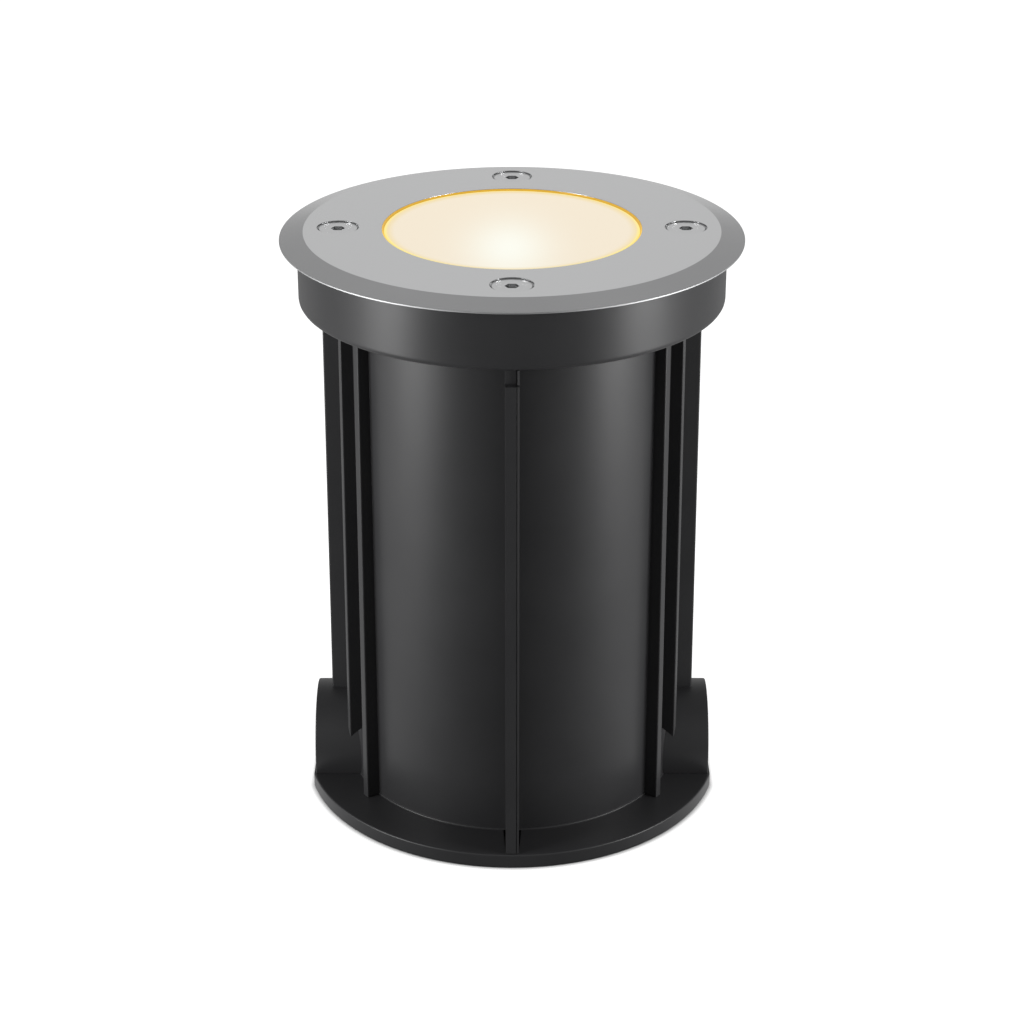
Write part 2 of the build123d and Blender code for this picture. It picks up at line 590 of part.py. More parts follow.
def reflector():
    cone_h = LIP_TOP - LAMP_FACE
    lean = REFLECTOR_T * hypot(cone_h, REFLECTOR_R - REFLECTOR_MOUTH_R) / cone_h
    return turned([(REFLECTOR_MOUTH_R, LAMP_FACE), (REFLECTOR_MOUTH_R + lean, LAMP_FACE),
                   (REFLECTOR_R, LIP_TOP - REFLECTOR_T), (REFLECTOR_R, LIP_TOP),
                   (LIP_R + REFLECTOR_RIM_W, LIP_TOP), (LIP_R + REFLECTOR_RIM_W, REFLECTOR_TOP),
                   (REFLECTOR_R - lean, REFLECTOR_TOP)])


def lamp_shell():
    waist = LAMP_NECK_TOP
    flare_low = waist + SHELL_FOOT_H
    flare_r = NECK_R + SHELL_FOOT_FLARE
    rim_low = LAMP_FACE - LAMP_RIM_H
    ledge = LAMP_FACE - LENS_DROP - LENS_T
    ledge_r = LAMP_R - 2 * LAMP_WALL
    outline = [(NECK_R, waist), (flare_r, flare_low), (LAMP_R - LAMP_RIM_W, rim_low - LAMP_RIM_EASE),
               (LAMP_R, rim_low), (LAMP_R, LAMP_FACE)]
    outline += [(LAMP_R - LAMP_WALL, LAMP_FACE), (LAMP_R - LAMP_WALL, ledge), (ledge_r, ledge),
                (ledge_r, rim_low - LAMP_LEDGE_T), (flare_r - LAMP_WALL, flare_low),
                (NECK_R - LAMP_WALL, waist)]
    return turned(outline)


def lamp_lens():
    bottom = LAMP_FACE - LENS_DROP - LENS_T
    lens = post(LAMP_R - LAMP_WALL - SEAT_GAP, bottom, bottom + LENS_T)
    return chamfer(lens.edges().sort_by(Axis.Z)[-1], LENS_CHAMFER)


def lamp_neck():
    plug_r = NECK_R - LAMP_WALL - SEAT_GAP
    shoulder = LAMP_NECK_TOP - NECK_STRAIGHT_H
    return turned([(0, LAMP_FOOT), (NECK_FOOT_R, LAMP_FOOT), (NECK_FOOT_R, LAMP_FOOT + NECK_FOOT_H),
                   (NECK_R, shoulder), (NECK_R, LAMP_NECK_TOP), (plug_r, LAMP_NECK_TOP),
                   (plug_r, LAMP_NECK_TOP + NECK_PLUG_H), (0, LAMP_NECK_TOP + NECK_PLUG_H)])


def lamp_pins():
    foot = LAMP_FOOT - PIN_L
    pins = []
    for side in (1, -1):
        x = side * PIN_SPACING / 2
        pins.append(post(PIN_R, foot, LAMP_FOOT, x) + post(PIN_HEAD_R, foot, foot + PIN_HEAD_H, x))
    return pins


def twist_slot(half_width, low, high):
    """The arc that a pin sweeps as the lamp twists, as a cutter between two heights."""
    arc = CenterArc((0, 0), PIN_SPACING / 2, 0, LAMP_TWIST)
    return Pos(0, 0, low) * extrude(SlotArc(arc, 2 * half_width), high - low)


def lamp_holder():
    body = post(HOLDER_R, BRACKET_TOP, HOLDER_TOP)
    body = fillet(body.edges().sort_by(Axis.Z)[-1], HOLDER_ROUND)
    plate_under = HOLDER_TOP - HOLDER_TOP_T
    cavity = twist_slot(PIN_HEAD_R + BODY_GAP, plate_under - HOLDER_CAVITY_D, plate_under)
    slot = twist_slot(PIN_R + BODY_GAP, plate_under, HOLDER_TOP)
    entry = at_angle(LAMP_TWIST, PIN_SPACING / 2) * post(PIN_HEAD_R + BODY_GAP, plate_under, HOLDER_TOP)
    pocket = block(CONTACT_L + 2 * SEAT_GAP, CONTACT_W + 2 * SEAT_GAP, BRACKET_TOP,
                   plate_under - HOLDER_CAVITY_D, PIN_SPACING / 2)
    for turn in (0, 180):
        body -= Rot(0, 0, turn) * (cavity + slot + entry + pocket)
    for y in (HOLDER_SCREW_Y, -HOLDER_SCREW_Y):
        body -= post(HOLDER_SCREW_R + SEAT_GAP, BRACKET_TOP, HOLDER_TOP, 0, y)
        body -= post(HOLDER_SCREW_HEAD_R + SEAT_GAP, HOLDER_SCREW_SEAT, HOLDER_TOP, 0, y)
    return body


def holder_screws():
    screw = pan_screw(HOLDER_SCREW_R, HOLDER_SCREW_L, HOLDER_SCREW_HEAD_R, HOLDER_SCREW_HEAD_T,
                      HOLDER_SCREW_SEAT)
    return [Pos(0, y, 0) * screw for y in (HOLDER_SCREW_Y, -HOLDER_SCREW_Y)]


def holder_contacts():
    top = CONTACT_BOTTOM + CONTACT_H
    contact = block(CONTACT_L, CONTACT_W, CONTACT_BOTTOM, top, PIN_SPACING / 2)
    return [Rot(0, 0, turn) * contact for turn in (0, 180)]


def lamp_bracket():
    strap = block(BRACKET_SPAN, BRACKET_W, BRACKET_TOP - BRACKET_T, BRACKET_TOP)
    for side in (1, -1):
        leg_x = side * (BRACKET_SPAN - BRACKET_T) / 2
        strap += block(BRACKET_T, BRACKET_W, INNER_FLOOR, BRACKET_TOP, leg_x)
        foot_x = side * (BRACKET_SPAN + BRACKET_FOOT_L) / 2
        strap += block(BRACKET_FOOT_L, BRACKET_W, INNER_FLOOR, INNER_FLOOR + BRACKET_T, foot_x)
        strap -= post(BRACKET_SCREW_R + SCREW_HOLE_GAP, INNER_FLOOR, INNER_FLOOR + BRACKET_T, foot_x)
        lead_x = side * PIN_SPACING / 2
        strap -= post(LEAD_HOLE_R, BRACKET_TOP - BRACKET_T, BRACKET_TOP, lead_x)
        screw_y = side * HOLDER_SCREW_Y
        strap -= post(HOLDER_SCREW_R + SHAFT_GAP, BRACKET_TOP - BRACKET_T, BRACKET_TOP, 0, screw_y)
    return strap


def bracket_screws():
    screw = pan_screw(BRACKET_SCREW_R, BRACKET_SCREW_L, BRACKET_SCREW_HEAD_R,
                      BRACKET_SCREW_HEAD_T, INNER_FLOOR + BRACKET_T)
    foot_x = (BRACKET_SPAN + BRACKET_FOOT_L) / 2
    return [Pos(side * foot_x, 0, 0) * screw for side in (1, -1)]


def terminal_block():
    body = block(TERMINAL_L, TERMINAL_W, INNER_FLOOR, TERMINAL_TOP)
    body = chamfer(body.edges().filter_by(Axis.Z), TERMINAL_CHAMFER)
    well_low = TERMINAL_TOP - TERMINAL_WELL_D
    port_low = INNER_FLOOR + TERMINAL_PORT_RISE
    for side in (1, -1):
        x = side * PIN_SPACING / 2
        body -= post(LEAD_R + SEAT_GAP, well_low, TERMINAL_TOP, x)
        body -= post(TERMINAL_SCREW_R + SEAT_GAP, well_low, TERMINAL_TOP, x, TERMINAL_SCREW_Y)
        body -= block(2 * LEAD_R, TERMINAL_W / 2, port_low, port_low + TERMINAL_PORT_H, x, -TERMINAL_W / 2)
    return body


def terminal_screws():
    low = TERMINAL_TOP - TERMINAL_WELL_D
    high = low + TERMINAL_SCREW_L
    slot = block(2 * TERMINAL_SCREW_R, TERMINAL_SLOT_W, high - TERMINAL_SLOT_D, high)
    screw = post(TERMINAL_SCREW_R, low, high) - slot
    return [Pos(side * PIN_SPACING / 2, TERMINAL_SCREW_Y, 0) * screw for side in (1, -1)]


def lamp_leads():
    low = TERMINAL_TOP - TERMINAL_WELL_D
    return [post(LEAD_R, low, CONTACT_BOTTOM, side * PIN_SPACING / 2) for side in (1, -1)]


def earth_screw():
    washer_top = INNER_FLOOR + EARTH_WASHER_T
    screw = pan_screw(EARTH_SCREW_R, EARTH_SCREW_L, EARTH_SCREW_HEAD_R, EARTH_SCREW_HEAD_T, washer_top)
    return Pos(EARTH_X, 0, 0) * (screw + post(EARTH_WASHER_R, INNER_FLOOR, washer_top))


def breather_plug():
    plug = post(BREATHER_R, HOUSING_UNDER, INNER_FLOOR, BREATHER_X)
    plug += hex_bar(BREATHER_AF, HOUSING_UNDER - BREATHER_HEAD_T, HOUSING_UNDER, BREATHER_X)
    return plug - post(BREATHER_BORE_R, HOUSING_UNDER - BREATHER_HEAD_T, INNER_FLOOR, BREATHER_X)


def gland_body(y):
    stem_root = GLAND_STEM_R - THREAD_DEPTH
    lower_root = GLAND_LOWER_R - THREAD_DEPTH
    body = threaded(GLAND_STEM_R, stem_root, THREAD_PITCH, HOUSING_UNDER, STEM_TOP)
    body += hex_bar(GLAND_AF, GLAND_FLANGE_BOTTOM, HOUSING_UNDER)
    body += threaded(GLAND_LOWER_R, lower_root, THREAD_PITCH, GLAND_STEM_BOTTOM, GLAND_FLANGE_BOTTOM)
    body -= post(GLAND_BORE_R, GLAND_STEM_BOTTOM, STEM_TOP)
    body -= ring(GLAND_STEM_R + ORING_W, stem_root, HOUSING_UNDER - ORING_T, HOUSING_UNDER)
    return Pos(0, y, 0) * body


def gland_orings():
    seal = ring(GLAND_STEM_R + ORING_W, GLAND_STEM_R, HOUSING_UNDER - ORING_T, HOUSING_UNDER)
    return [Pos(0, y, 0) * seal for y in (-GLAND_Y, GLAND_Y)]


def gland_locknuts():
    nut_top = INNER_FLOOR + LOCKNUT_T
    nut = hex_bar(LOCKNUT_AF, INNER_FLOOR, nut_top) - post(GLAND_STEM_R + SHAFT_GAP, INNER_FLOOR, nut_top)
    return [Pos(0, y, 0) * nut for y in (-GLAND_Y, GLAND_Y)]


def gland_seal(y):
    return ring(GLAND_BORE_R, CABLE_BORE_R, GLAND_STEM_BOTTOM, GLAND_STEM_BOTTOM + CABLE_SEAL_L, 0, y)


def gland_nut(y):
    shoulder = GLAND_STEM_BOTTOM - BODY_GAP
    top = GLAND_FLANGE_BOTTOM - NUT_DROP
    hex_low = top - NUT_L
    dome_low = hex_low - NUT_DOME_H
    nut = hex_bar(GLAND_AF, hex_low, top)
    nut += turned([(0, dome_low), (NUT_DOME_R, dome_low),
                   (GLAND_AF / 2 - NUT_DOME_STEP, hex_low), (0, hex_low)])
    nut -= post(GLAND_LOWER_R + SHAFT_GAP, shoulder, top)
    return Pos(0, y, 0) * (nut - post(NUT_MOUTH_R, dome_low, top))


PIECES = {
    "base_plate": base_plate(),
    "sleeve_tube": sleeve_tube(),
    "sleeve_screws": sleeve_screws(),
    "collar": collar(),
    "threaded_inserts": threaded_inserts(),
    "housing_barrel": housing_barrel(),
    "housing_base": housing_base(),
    "base_seal": base_seal(),
    "base_screws": base_screws(),
    "cover_gasket": cover_gasket(),
    "cover_ring": cover_ring(),
    "glass": glass(),
    "glass_bead": glass_bead(),
    "glass_seal": glass_seal(),
    "screw_right": cover_screw(0),
    "screw_back": cover_screw(90),
    "screw_left": cover_screw(180),
    "screw_front": cover_screw(270),
    "reflector": reflector(),
    "lamp_shell": lamp_shell(),
    "lamp_lens": lamp_lens(),
    "lamp_neck": lamp_neck(),
    "lamp_pins": lamp_pins(),
    "lamp_holder": lamp_holder(),
    "holder_screws": holder_screws(),
    "holder_contacts": holder_contacts(),
    "lamp_bracket": lamp_bracket(),
    "bracket_screws": bracket_screws(),
    "terminal_block": terminal_block(),
    "terminal_screws": terminal_screws(),
    "lamp_leads": lamp_leads(),
    "earth_screw": earth_screw(),
    "breather_plug": breather_plug(),
    "gland_body_front": gland_body(-GLAND_Y),
    "gland_body_rear": gland_body(GLAND_Y),
    "gland_orings": gland_orings(),
    "gland_locknuts": gland_locknuts(),
    "gland_seal_front": gland_seal(-GLAND_Y),
    "gland_seal_rear": gland_seal(GLAND_Y),
    "gland_nut_front": gland_nut(-GLAND_Y),
    "gland_nut_rear": gland_nut(GLAND_Y),
}

os.makedirs("parts", exist_ok=True)
for name, piece in PIECES.items():
    shape = Compound(children=piece) if isinstance(piece, list) else piece
    export_step(shape, f"parts/{name}.step")
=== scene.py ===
import json
from math import ceil, copysign, cos, pi, radians, sin, sqrt, tan

import bmesh
import bpy
from mathutils import Matrix, Vector

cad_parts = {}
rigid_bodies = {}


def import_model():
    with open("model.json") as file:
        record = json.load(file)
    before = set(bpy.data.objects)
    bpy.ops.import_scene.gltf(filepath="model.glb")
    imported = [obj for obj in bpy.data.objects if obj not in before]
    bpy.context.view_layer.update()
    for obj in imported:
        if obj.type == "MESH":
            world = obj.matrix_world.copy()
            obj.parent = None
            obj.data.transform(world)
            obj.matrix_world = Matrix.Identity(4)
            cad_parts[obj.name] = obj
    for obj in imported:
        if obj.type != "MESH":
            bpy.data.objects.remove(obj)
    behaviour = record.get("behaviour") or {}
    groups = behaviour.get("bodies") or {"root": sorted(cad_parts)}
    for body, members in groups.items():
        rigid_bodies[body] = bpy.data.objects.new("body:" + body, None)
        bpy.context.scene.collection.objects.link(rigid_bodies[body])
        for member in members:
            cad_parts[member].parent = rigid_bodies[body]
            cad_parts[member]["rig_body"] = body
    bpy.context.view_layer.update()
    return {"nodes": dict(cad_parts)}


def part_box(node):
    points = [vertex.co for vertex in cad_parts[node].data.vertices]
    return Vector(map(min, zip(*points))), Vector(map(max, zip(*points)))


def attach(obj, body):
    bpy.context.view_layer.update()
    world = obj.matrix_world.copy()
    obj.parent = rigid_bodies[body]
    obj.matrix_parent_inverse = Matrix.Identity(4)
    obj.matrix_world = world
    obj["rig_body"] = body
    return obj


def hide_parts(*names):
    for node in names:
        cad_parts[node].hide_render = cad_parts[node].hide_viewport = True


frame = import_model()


# ---------------------------------------------------------------------------------------
# Base plate: the round foot that the ground sleeve stands on, with a flat at each hood.
# Black glass-filled nylon, with a wide drain opening and four counterbored screw holes.
# ---------------------------------------------------------------------------------------
MM = 0.001


class Wire:
    """A socket in a node tree. Arithmetic on it adds Math nodes, and node() adds any other node."""

    def __init__(self, tree, socket):
        self.tree = tree
        self.socket = socket

    def node(self, kind, settings, inputs, output=0):
        made = self.tree.nodes.new(kind)
        for key, value in settings.items():
            setattr(made, key, value)
        for key, value in inputs.items():
            if isinstance(value, Wire):
                self.tree.links.new(value.socket, made.inputs[key])
            else:
                made.inputs[key].default_value = value
        return Wire(self.tree, made.outputs[output]) if made.outputs else None

    def math(self, operation, *values):
        return self.node("ShaderNodeMath", {"operation": operation}, dict(enumerate(values)))

    def __add__(self, other):
        return self.math("ADD", self, other)

    def __radd__(self, other):
        return self.math("ADD", other, self)

    def __sub__(self, other):
        return self.math("SUBTRACT", self, other)

    def __rsub__(self, other):
        return self.math("SUBTRACT", other, self)

    def __mul__(self, other):
        return self.math("MULTIPLY", self, other)

    def __rmul__(self, other):
        return self.math("MULTIPLY", other, self)

    def __truediv__(self, other):
        return self.math("DIVIDE", self, other)

    def __rtruediv__(self, other):
        return self.math("DIVIDE", other, self)

    def __pow__(self, other):
        return self.math("POWER", self, other)

    def vector(self, operation, other, output=0):
        return self.node("ShaderNodeVectorMath", {"operation": operation}, {0: self, 1: other}, output)

    def axis(self, index):
        return self.node("ShaderNodeSeparateXYZ", {}, {0: self}, index)

    def length(self):
        return self.vector("LENGTH", (0, 0, 0), 1)

    def from_axis(self):
        """The distance of this place from the light's upright axis."""
        return self.vector("MULTIPLY", (1, 1, 0)).length()

    def fade(self, start, end, low, high):
        """A smooth step of this value, from low at its start to high at its end."""
        limits = {0: self, 1: start, 2: end, 3: low, 4: high}
        return self.node("ShaderNodeMapRange", {"interpolation_type": "SMOOTHSTEP"}, limits)

    def blend(self, first, second):
        """A colour between two colours, by this value. Either may be a wire."""
        ends = [end if isinstance(end, Wire) else (*end, 1) for end in (first, second)]
        return self.node("ShaderNodeMix", {"data_type": "RGBA"}, {0: self, 6: ends[0], 7: ends[1]}, 2)

    def noise(self, waves, detail=3.0, stretch=(1, 1, 1)):
        """Noise from 0 to 1 at this place, with so many waves to the metre."""
        stretched = self.node("ShaderNodeMapping", {}, {"Vector": self, "Scale": stretch})
        return self.node("ShaderNodeTexNoise", {}, {"Vector": stretched, "Scale": waves, "Detail": detail})

    def bump(self, strength, depth):
        """A normal from this height, for relief of this depth in metres."""
        return self.node("ShaderNodeBump", {}, {"Height": self, "Strength": strength, "Distance": depth})


def new_finish(name):
    """A material with an empty node tree, and the wire of its Object coordinates."""
    material = bpy.data.materials.new(name)
    material.use_nodes = True
    material.node_tree.nodes.clear()
    coordinates = material.node_tree.nodes.new("ShaderNodeTexCoord")
    return material, Wire(material.node_tree, coordinates.outputs["Object"])


def surfaced(place, sockets):
    """Ends a material in one Principled shader with these sockets."""
    shader = place.node("ShaderNodeBsdfPrincipled", {}, sockets)
    place.node("ShaderNodeOutputMaterial", {}, {"Surface": shader})


def moulding(name, dark, pale, satin, shine, relief=0.12):
    """A moulded part: faint clouds in tone and gloss, flow marks up the part, and a fine grain."""
    material, place = new_finish(name)
    clouds = place.noise(45, 4)
    flow = place.noise(120, 2, (1, 1, 0.15))
    grain = place.noise(2600, 2)
    surfaced(place, {
        "Base Color": clouds.blend(dark, pale),
        "Roughness": satin + 0.07 * (clouds - 0.5) + 0.05 * (flow - 0.5),
        "Specular IOR Level": shine,
        "Normal": (grain + 0.5 * flow).bump(relief, 0.00004),
    })
    return material


def eased(corners, closed=True):
    """An outline in which each corner (across, up, easing) becomes a short curve."""
    steps = 4
    shoulder = 0.3
    points = []
    for index, (across, up, ease) in enumerate(corners):
        here = Vector((across, up))
        if ease == 0 or (not closed and index in (0, len(corners) - 1)):
            points.append(here)
            continue
        before = Vector(corners[index - 1][:2]) - here
        after = Vector(corners[(index + 1) % len(corners)][:2]) - here
        reach = ease / tan(before.angle(after) / 2)
        start = here + before.normalized() * reach
        end = here + after.normalized() * reach
        points.append(start + before.normalized() * shoulder * ease)
        for step in range(steps + 1):
            share = step / steps
            points.append(start * (1 - share) ** 2 + here * 2 * share * (1 - share) + end * share ** 2)
        points.append(end + after.normalized() * shoulder * ease)
    return points


def new_piece(name, mesh):
    """An object in the scene with this mesh, at the origin."""
    made = bpy.data.objects.new(name, mesh)
    bpy.context.scene.collection.objects.link(made)
    return made


def skinned(name, rings, wrap):
    """A solid from rings of points in millimetres. It closes on its first ring, or has two caps."""
    work = bmesh.new()
    rows = [[work.verts.new(Vector(point) * MM) for point in ring] for ring in rings]
    count = len(rows[0])
    for index in range(len(rows) if wrap else len(rows) - 1):
        row = rows[index]
        above = rows[(index + 1) % len(rows)]
        for step in range(count):
            after = (step + 1) % count
            work.faces.new((row[step], row[after], above[after], above[step]))
    if not wrap:
        work.faces.new(rows[0])
        work.faces.new(rows[-1])
    bmesh.ops.remove_doubles(work, verts=work.verts, dist=1e-7)
    bmesh.ops.recalc_face_normals(work, faces=work.faces)
    mesh = bpy.data.meshes.new(name)
    work.to_mesh(mesh)
    work.free()
    return new_piece(name, mesh)


def turned(name, points, segments=192, spot=(0, 0)):
    """A turned solid from its half section, in millimetres, around a vertical axis at a spot."""
    turns = [2 * pi * index / segments for index in range(segments)]
    rings = []
    for radius, height in points:
        rings.append([(spot[0] + radius * cos(turn), spot[1] + radius * sin(turn), height) for turn in turns])
    return skinned(name, rings, True)


def rod(radius, low, high, spot=(0, 0), segments=96):
    """A plain round bar between two heights."""
    return turned("rod", [(0, low), (radius, low), (radius, high), (0, high)], segments, spot)


def settled(piece):
    """The piece, with its mesh replaced by what its modifiers make of it."""
    bpy.context.view_layer.update()
    shape = bpy.data.meshes.new_from_object(piece.evaluated_get(bpy.context.evaluated_depsgraph_get()))
    piece.modifiers.clear()
    piece.data = shape
    return piece


def carved(piece, operation, *tools):
    """The piece after these tool solids are joined to it or cut from it."""
    for tool in tools:
        modifier = piece.modifiers.new(operation, "BOOLEAN")
        modifier.operation = operation
        modifier.solver = "EXACT"
        modifier.object = tool
        settled(piece)
        bpy.data.objects.remove(tool)
    return piece


def dressed(piece, finish, *nodes):
    """Shades a finished piece and puts it in the place of these CAD nodes, on the first one's body."""
    piece.data.materials.clear()
    piece.data.materials.append(finish)
    for face in piece.data.polygons:
        face.use_smooth = True
        face.material_index = 0
    piece.data.set_sharp_from_angle(angle=radians(32))
    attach(piece, frame["nodes"][nodes[0]]["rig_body"])
    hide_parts(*nodes)


def spot_at(angle, radius):
    """Where a screw on a circle stands, by its angle in degrees."""
    return radius * cos(radians(angle)), radius * sin(radians(angle))


BASE_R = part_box("base_plate")[1].y / MM
BASE_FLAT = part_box("base_plate")[1].x / MM
BASE_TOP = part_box("base_plate")[1].z / MM
DRAIN_R = 40.0
SLEEVE_SCREW_CIRCLE_R = 49.5
DIAGONALS = (45, 135, 225, 315)
COUNTERBORE_R = 4.0
COUNTERBORE_D = 2.7
SCREW_HOLE_R = 2.3

sleeve_black = moulding("sleeve_black", (0.018, 0.018, 0.019), (0.023, 0.023, 0.024), 0.41, 0.34)
plate = turned("moulded_base_plate", eased([
    (DRAIN_R, 0, 0.3), (BASE_R, 0, 0.7), (BASE_R, BASE_TOP, 0.45), (DRAIN_R, BASE_TOP, 0.4)]), 384)
rim_width = MM
for vertex in plate.data.vertices:
    inset = BASE_R * MM - vertex.co.xy.length
    if inset < rim_width:
        vertex.co.x = copysign(min(abs(vertex.co.x), BASE_FLAT * MM - inset), vertex.co.x)
counterbore = [(0, -1), (COUNTERBORE_R + 0.2, -1), (COUNTERBORE_R + 0.2, 0.1), (COUNTERBORE_R, 0.3),
               (COUNTERBORE_R, COUNTERBORE_D), (SCREW_HOLE_R, COUNTERBORE_D), (SCREW_HOLE_R, BASE_TOP + 1),
               (0, BASE_TOP + 1)]
for angle in DIAGONALS:
    carved(plate, "DIFFERENCE", turned("counterbore", counterbore, 48, spot_at(angle, SLEEVE_SCREW_CIRCLE_R)))
dressed(plate, sleeve_black, "base_plate")


# ---------------------------------------------------------------------------------------
# Sleeve tube: the black nylon tube that stays in the ground. One moulding with a bead at
# its foot, low fins in groups at both sides, a deep rib in front and behind, and two
# half-round hoods over the cable ports. Four screws from below hold the base plate.
# ---------------------------------------------------------------------------------------
TUBE_R = 55.6
TUBE_BORE_R = 53.0
TUBE_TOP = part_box("sleeve_tube")[1].z / MM
COLLAR_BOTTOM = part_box("collar")[0].z / MM
FOOT_GAP = 0.25  # between the fins' feet and the base plate
FOOT_BEAD = ((0.25, 0.25), (0.35, 0.25), (0.45, 0.22), (0.55, 0.12), (0.6, -0.08), (0.8, -0.08), (1.0, 0.0))
FINS = ((56, 4.0), (90, 6.5), (124, 4.0))  # degrees from the front, and depth
FIN_T = 2.9
FIN_ROOT_R = TUBE_R - 0.02
FIN_SPREAD = 0.8  # how much further out a fin or rib reaches at its foot
FIN_MARGIN = 2.8  # the width of wall, at each side of its middle, that is drawn with a fin
SHORT_FINS = (67.8, 112.2)
SHORT_FIN_DEPTH = 4.0
SHORT_FIN_T = 2.3
SHORT_FIN_GAP = 7.2  # clear of the hood below
ROOT_OVERLAP = 0.05
RIB_ROOT_R = TUBE_R - ROOT_OVERLAP
RIB_FOOT_R = 70.6
RIB_LEFT = -2.1
RIB_FACE_END = 1.35
RIB_STRIP_START = 1.6
RIB_RIGHT = 2.25
RIB_STRIP_SLANT = 0.25
RIB_GROOVE_D = 0.5
RIB_TOP = 169.8
RIB_NOTCH = 1.8
RIB_SLOPE = 0.3
RIB_STRIP_R = 68.9  # beside the notch
RIB_MARGIN = 4.0
SLEEVE_BOSS_R = 4.5
SLEEVE_BOSS_H = 15.0
SLEEVE_PILOT_R = 2.1
ARC_STEP = radians(1.6)
WALL_STEPS = 9


def rib_side(share, notch):
    """The rib's section from left to right, as (out, across, easing): face, groove and slanted strip."""
    face = RIB_FOOT_R - FIN_SPREAD * share
    strip = RIB_STRIP_R if notch else face
    face -= notch
    groove = min(face, strip) - RIB_GROOVE_D
    return [(RIB_ROOT_R, RIB_LEFT, 0.08), (face, RIB_LEFT, 0.03), (face, RIB_FACE_END, 0.08),
            (groove, RIB_FACE_END, 0.03), (groove, RIB_STRIP_START, 0.03), (strip, RIB_STRIP_START, 0.05),
            (strip - RIB_STRIP_SLANT, RIB_RIGHT, 0.05), (RIB_ROOT_R, RIB_RIGHT, 0.08)]


def fin_side(depth, share, half=FIN_T / 2):
    """A fin's section from left to right, as (out, across, easing)."""
    tip = TUBE_R + depth + FIN_SPREAD * (1 - share)
    return [(FIN_ROOT_R, -half, 0.2), (tip, -half, 0.35 * half), (tip, half, 0.35 * half),
            (FIN_ROOT_R, half, 0.2)]


def standing(out, across, azimuth, height):
    """A point this far out from the axis and across, turned to an azimuth."""
    return (out * cos(azimuth) - across * sin(azimuth), out * sin(azimuth) + across * cos(azimuth), height)


def sleeve_ring(height, wall_r, notch=0.0, flush=False):
    """The sleeve's outline at a height: arcs of the tube between its fins and ribs, or all flush."""
    share = (height - BASE_TOP) / (COLLAR_BOTTOM - BASE_TOP)
    features = [(azimuth, RIB_MARGIN, rib_side(share, notch)) for azimuth in (-90, 90)]
    for angle, depth in FINS:
        features += [(azimuth, FIN_MARGIN, fin_side(depth, share)) for azimuth in (angle - 90, 270 - angle)]
    features.sort()
    ring = []
    for index, (azimuth, margin, section) in enumerate(features):
        reach = margin / TUBE_R
        here = radians(azimuth)
        corners = [(wall_r * cos(reach), -wall_r * sin(reach), 0)]
        corners += [(max(out, wall_r - ROOT_OVERLAP), across, ease) for out, across, ease in section]
        corners += [(wall_r * cos(reach), wall_r * sin(reach), 0)]
        points = eased(corners, False)
        for step, (out, across) in enumerate(points):
            if flush:
                home = reach * (2 * step / (len(points) - 1) - 1)
                out, across = wall_r * cos(home), wall_r * sin(home)
            ring.append(standing(out, across, here, height))
        next_azimuth, next_margin = features[(index + 1) % len(features)][:2]
        gap = (radians(next_azimuth) - next_margin / TUBE_R - here - reach) % (2 * pi)
        count = ceil(gap / ARC_STEP)
        for step in range(1, count):
            ring.append(standing(wall_r, 0, here + reach + gap * step / count, height))
    return ring


HOOD_R = 19.45
HOOD_BORE_R = 16.85
HOOD_CORE_R = 12.0  # of the mouth's face before it is bored
HOOD_AXIS_Z = 10.6
HOOD_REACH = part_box("sleeve_tube")[1].x / MM
HOOD_DRAFT = tan(radians(0.3))
CROSS_BAR_REACH = 80.0


def hood(side):
    """A drafted half-round hood on the base plate, from the light's axis out to its eased mouth."""
    outline = eased([(0, HOOD_R + HOOD_REACH * HOOD_DRAFT, 0), (HOOD_REACH, HOOD_R, 0.3),
                     (HOOD_REACH, HOOD_CORE_R, 0)], False)
    steps = 96
    rings = []
    for out, radius in outline:
        foot = sin((HOOD_AXIS_Z - BASE_TOP) / radius)
        ring = []
        for step in range(steps + 1):
            turn = -foot + (pi + 2 * foot) * step / steps
            rise = max(radius * sin(turn), BASE_TOP - HOOD_AXIS_Z)
            ring.append((side * out, radius * cos(turn), HOOD_AXIS_Z + rise))
        rings.append(ring)
    return skinned("hood", rings, False)


def cross_bar(radius):
    """A round bar from side to side, on the axis of the hoods."""
    bar = rod(radius, -CROSS_BAR_REACH, CROSS_BAR_REACH, segments=128)
    bar.data.transform(Matrix.Translation((0, 0, HOOD_AXIS_Z * MM)) @ Matrix.Rotation(pi / 2, 4, "Y"))
    return bar


def short_fin(azimuth):
    """A fin beside a hood, which ends a clear space above it."""
    here = radians(azimuth)
    rings = []
    for height in (BASE_TOP + HOOD_R / 2, COLLAR_BOTTOM):
        share = (height - BASE_TOP) / (COLLAR_BOTTOM - BASE_TOP)
        section = fin_side(SHORT_FIN_DEPTH, share, SHORT_FIN_T / 2)
        section[0] = (TUBE_R - 1, section[0][1], 0)
        section[-1] = (TUBE_R - 1, section[-1][1], 0)
        rings.append([standing(out, across, here, height) for out, across in eased(section)])
    return carved(skinned("short_fin", rings, False), "DIFFERENCE", cross_bar(HOOD_R + SHORT_FIN_GAP))


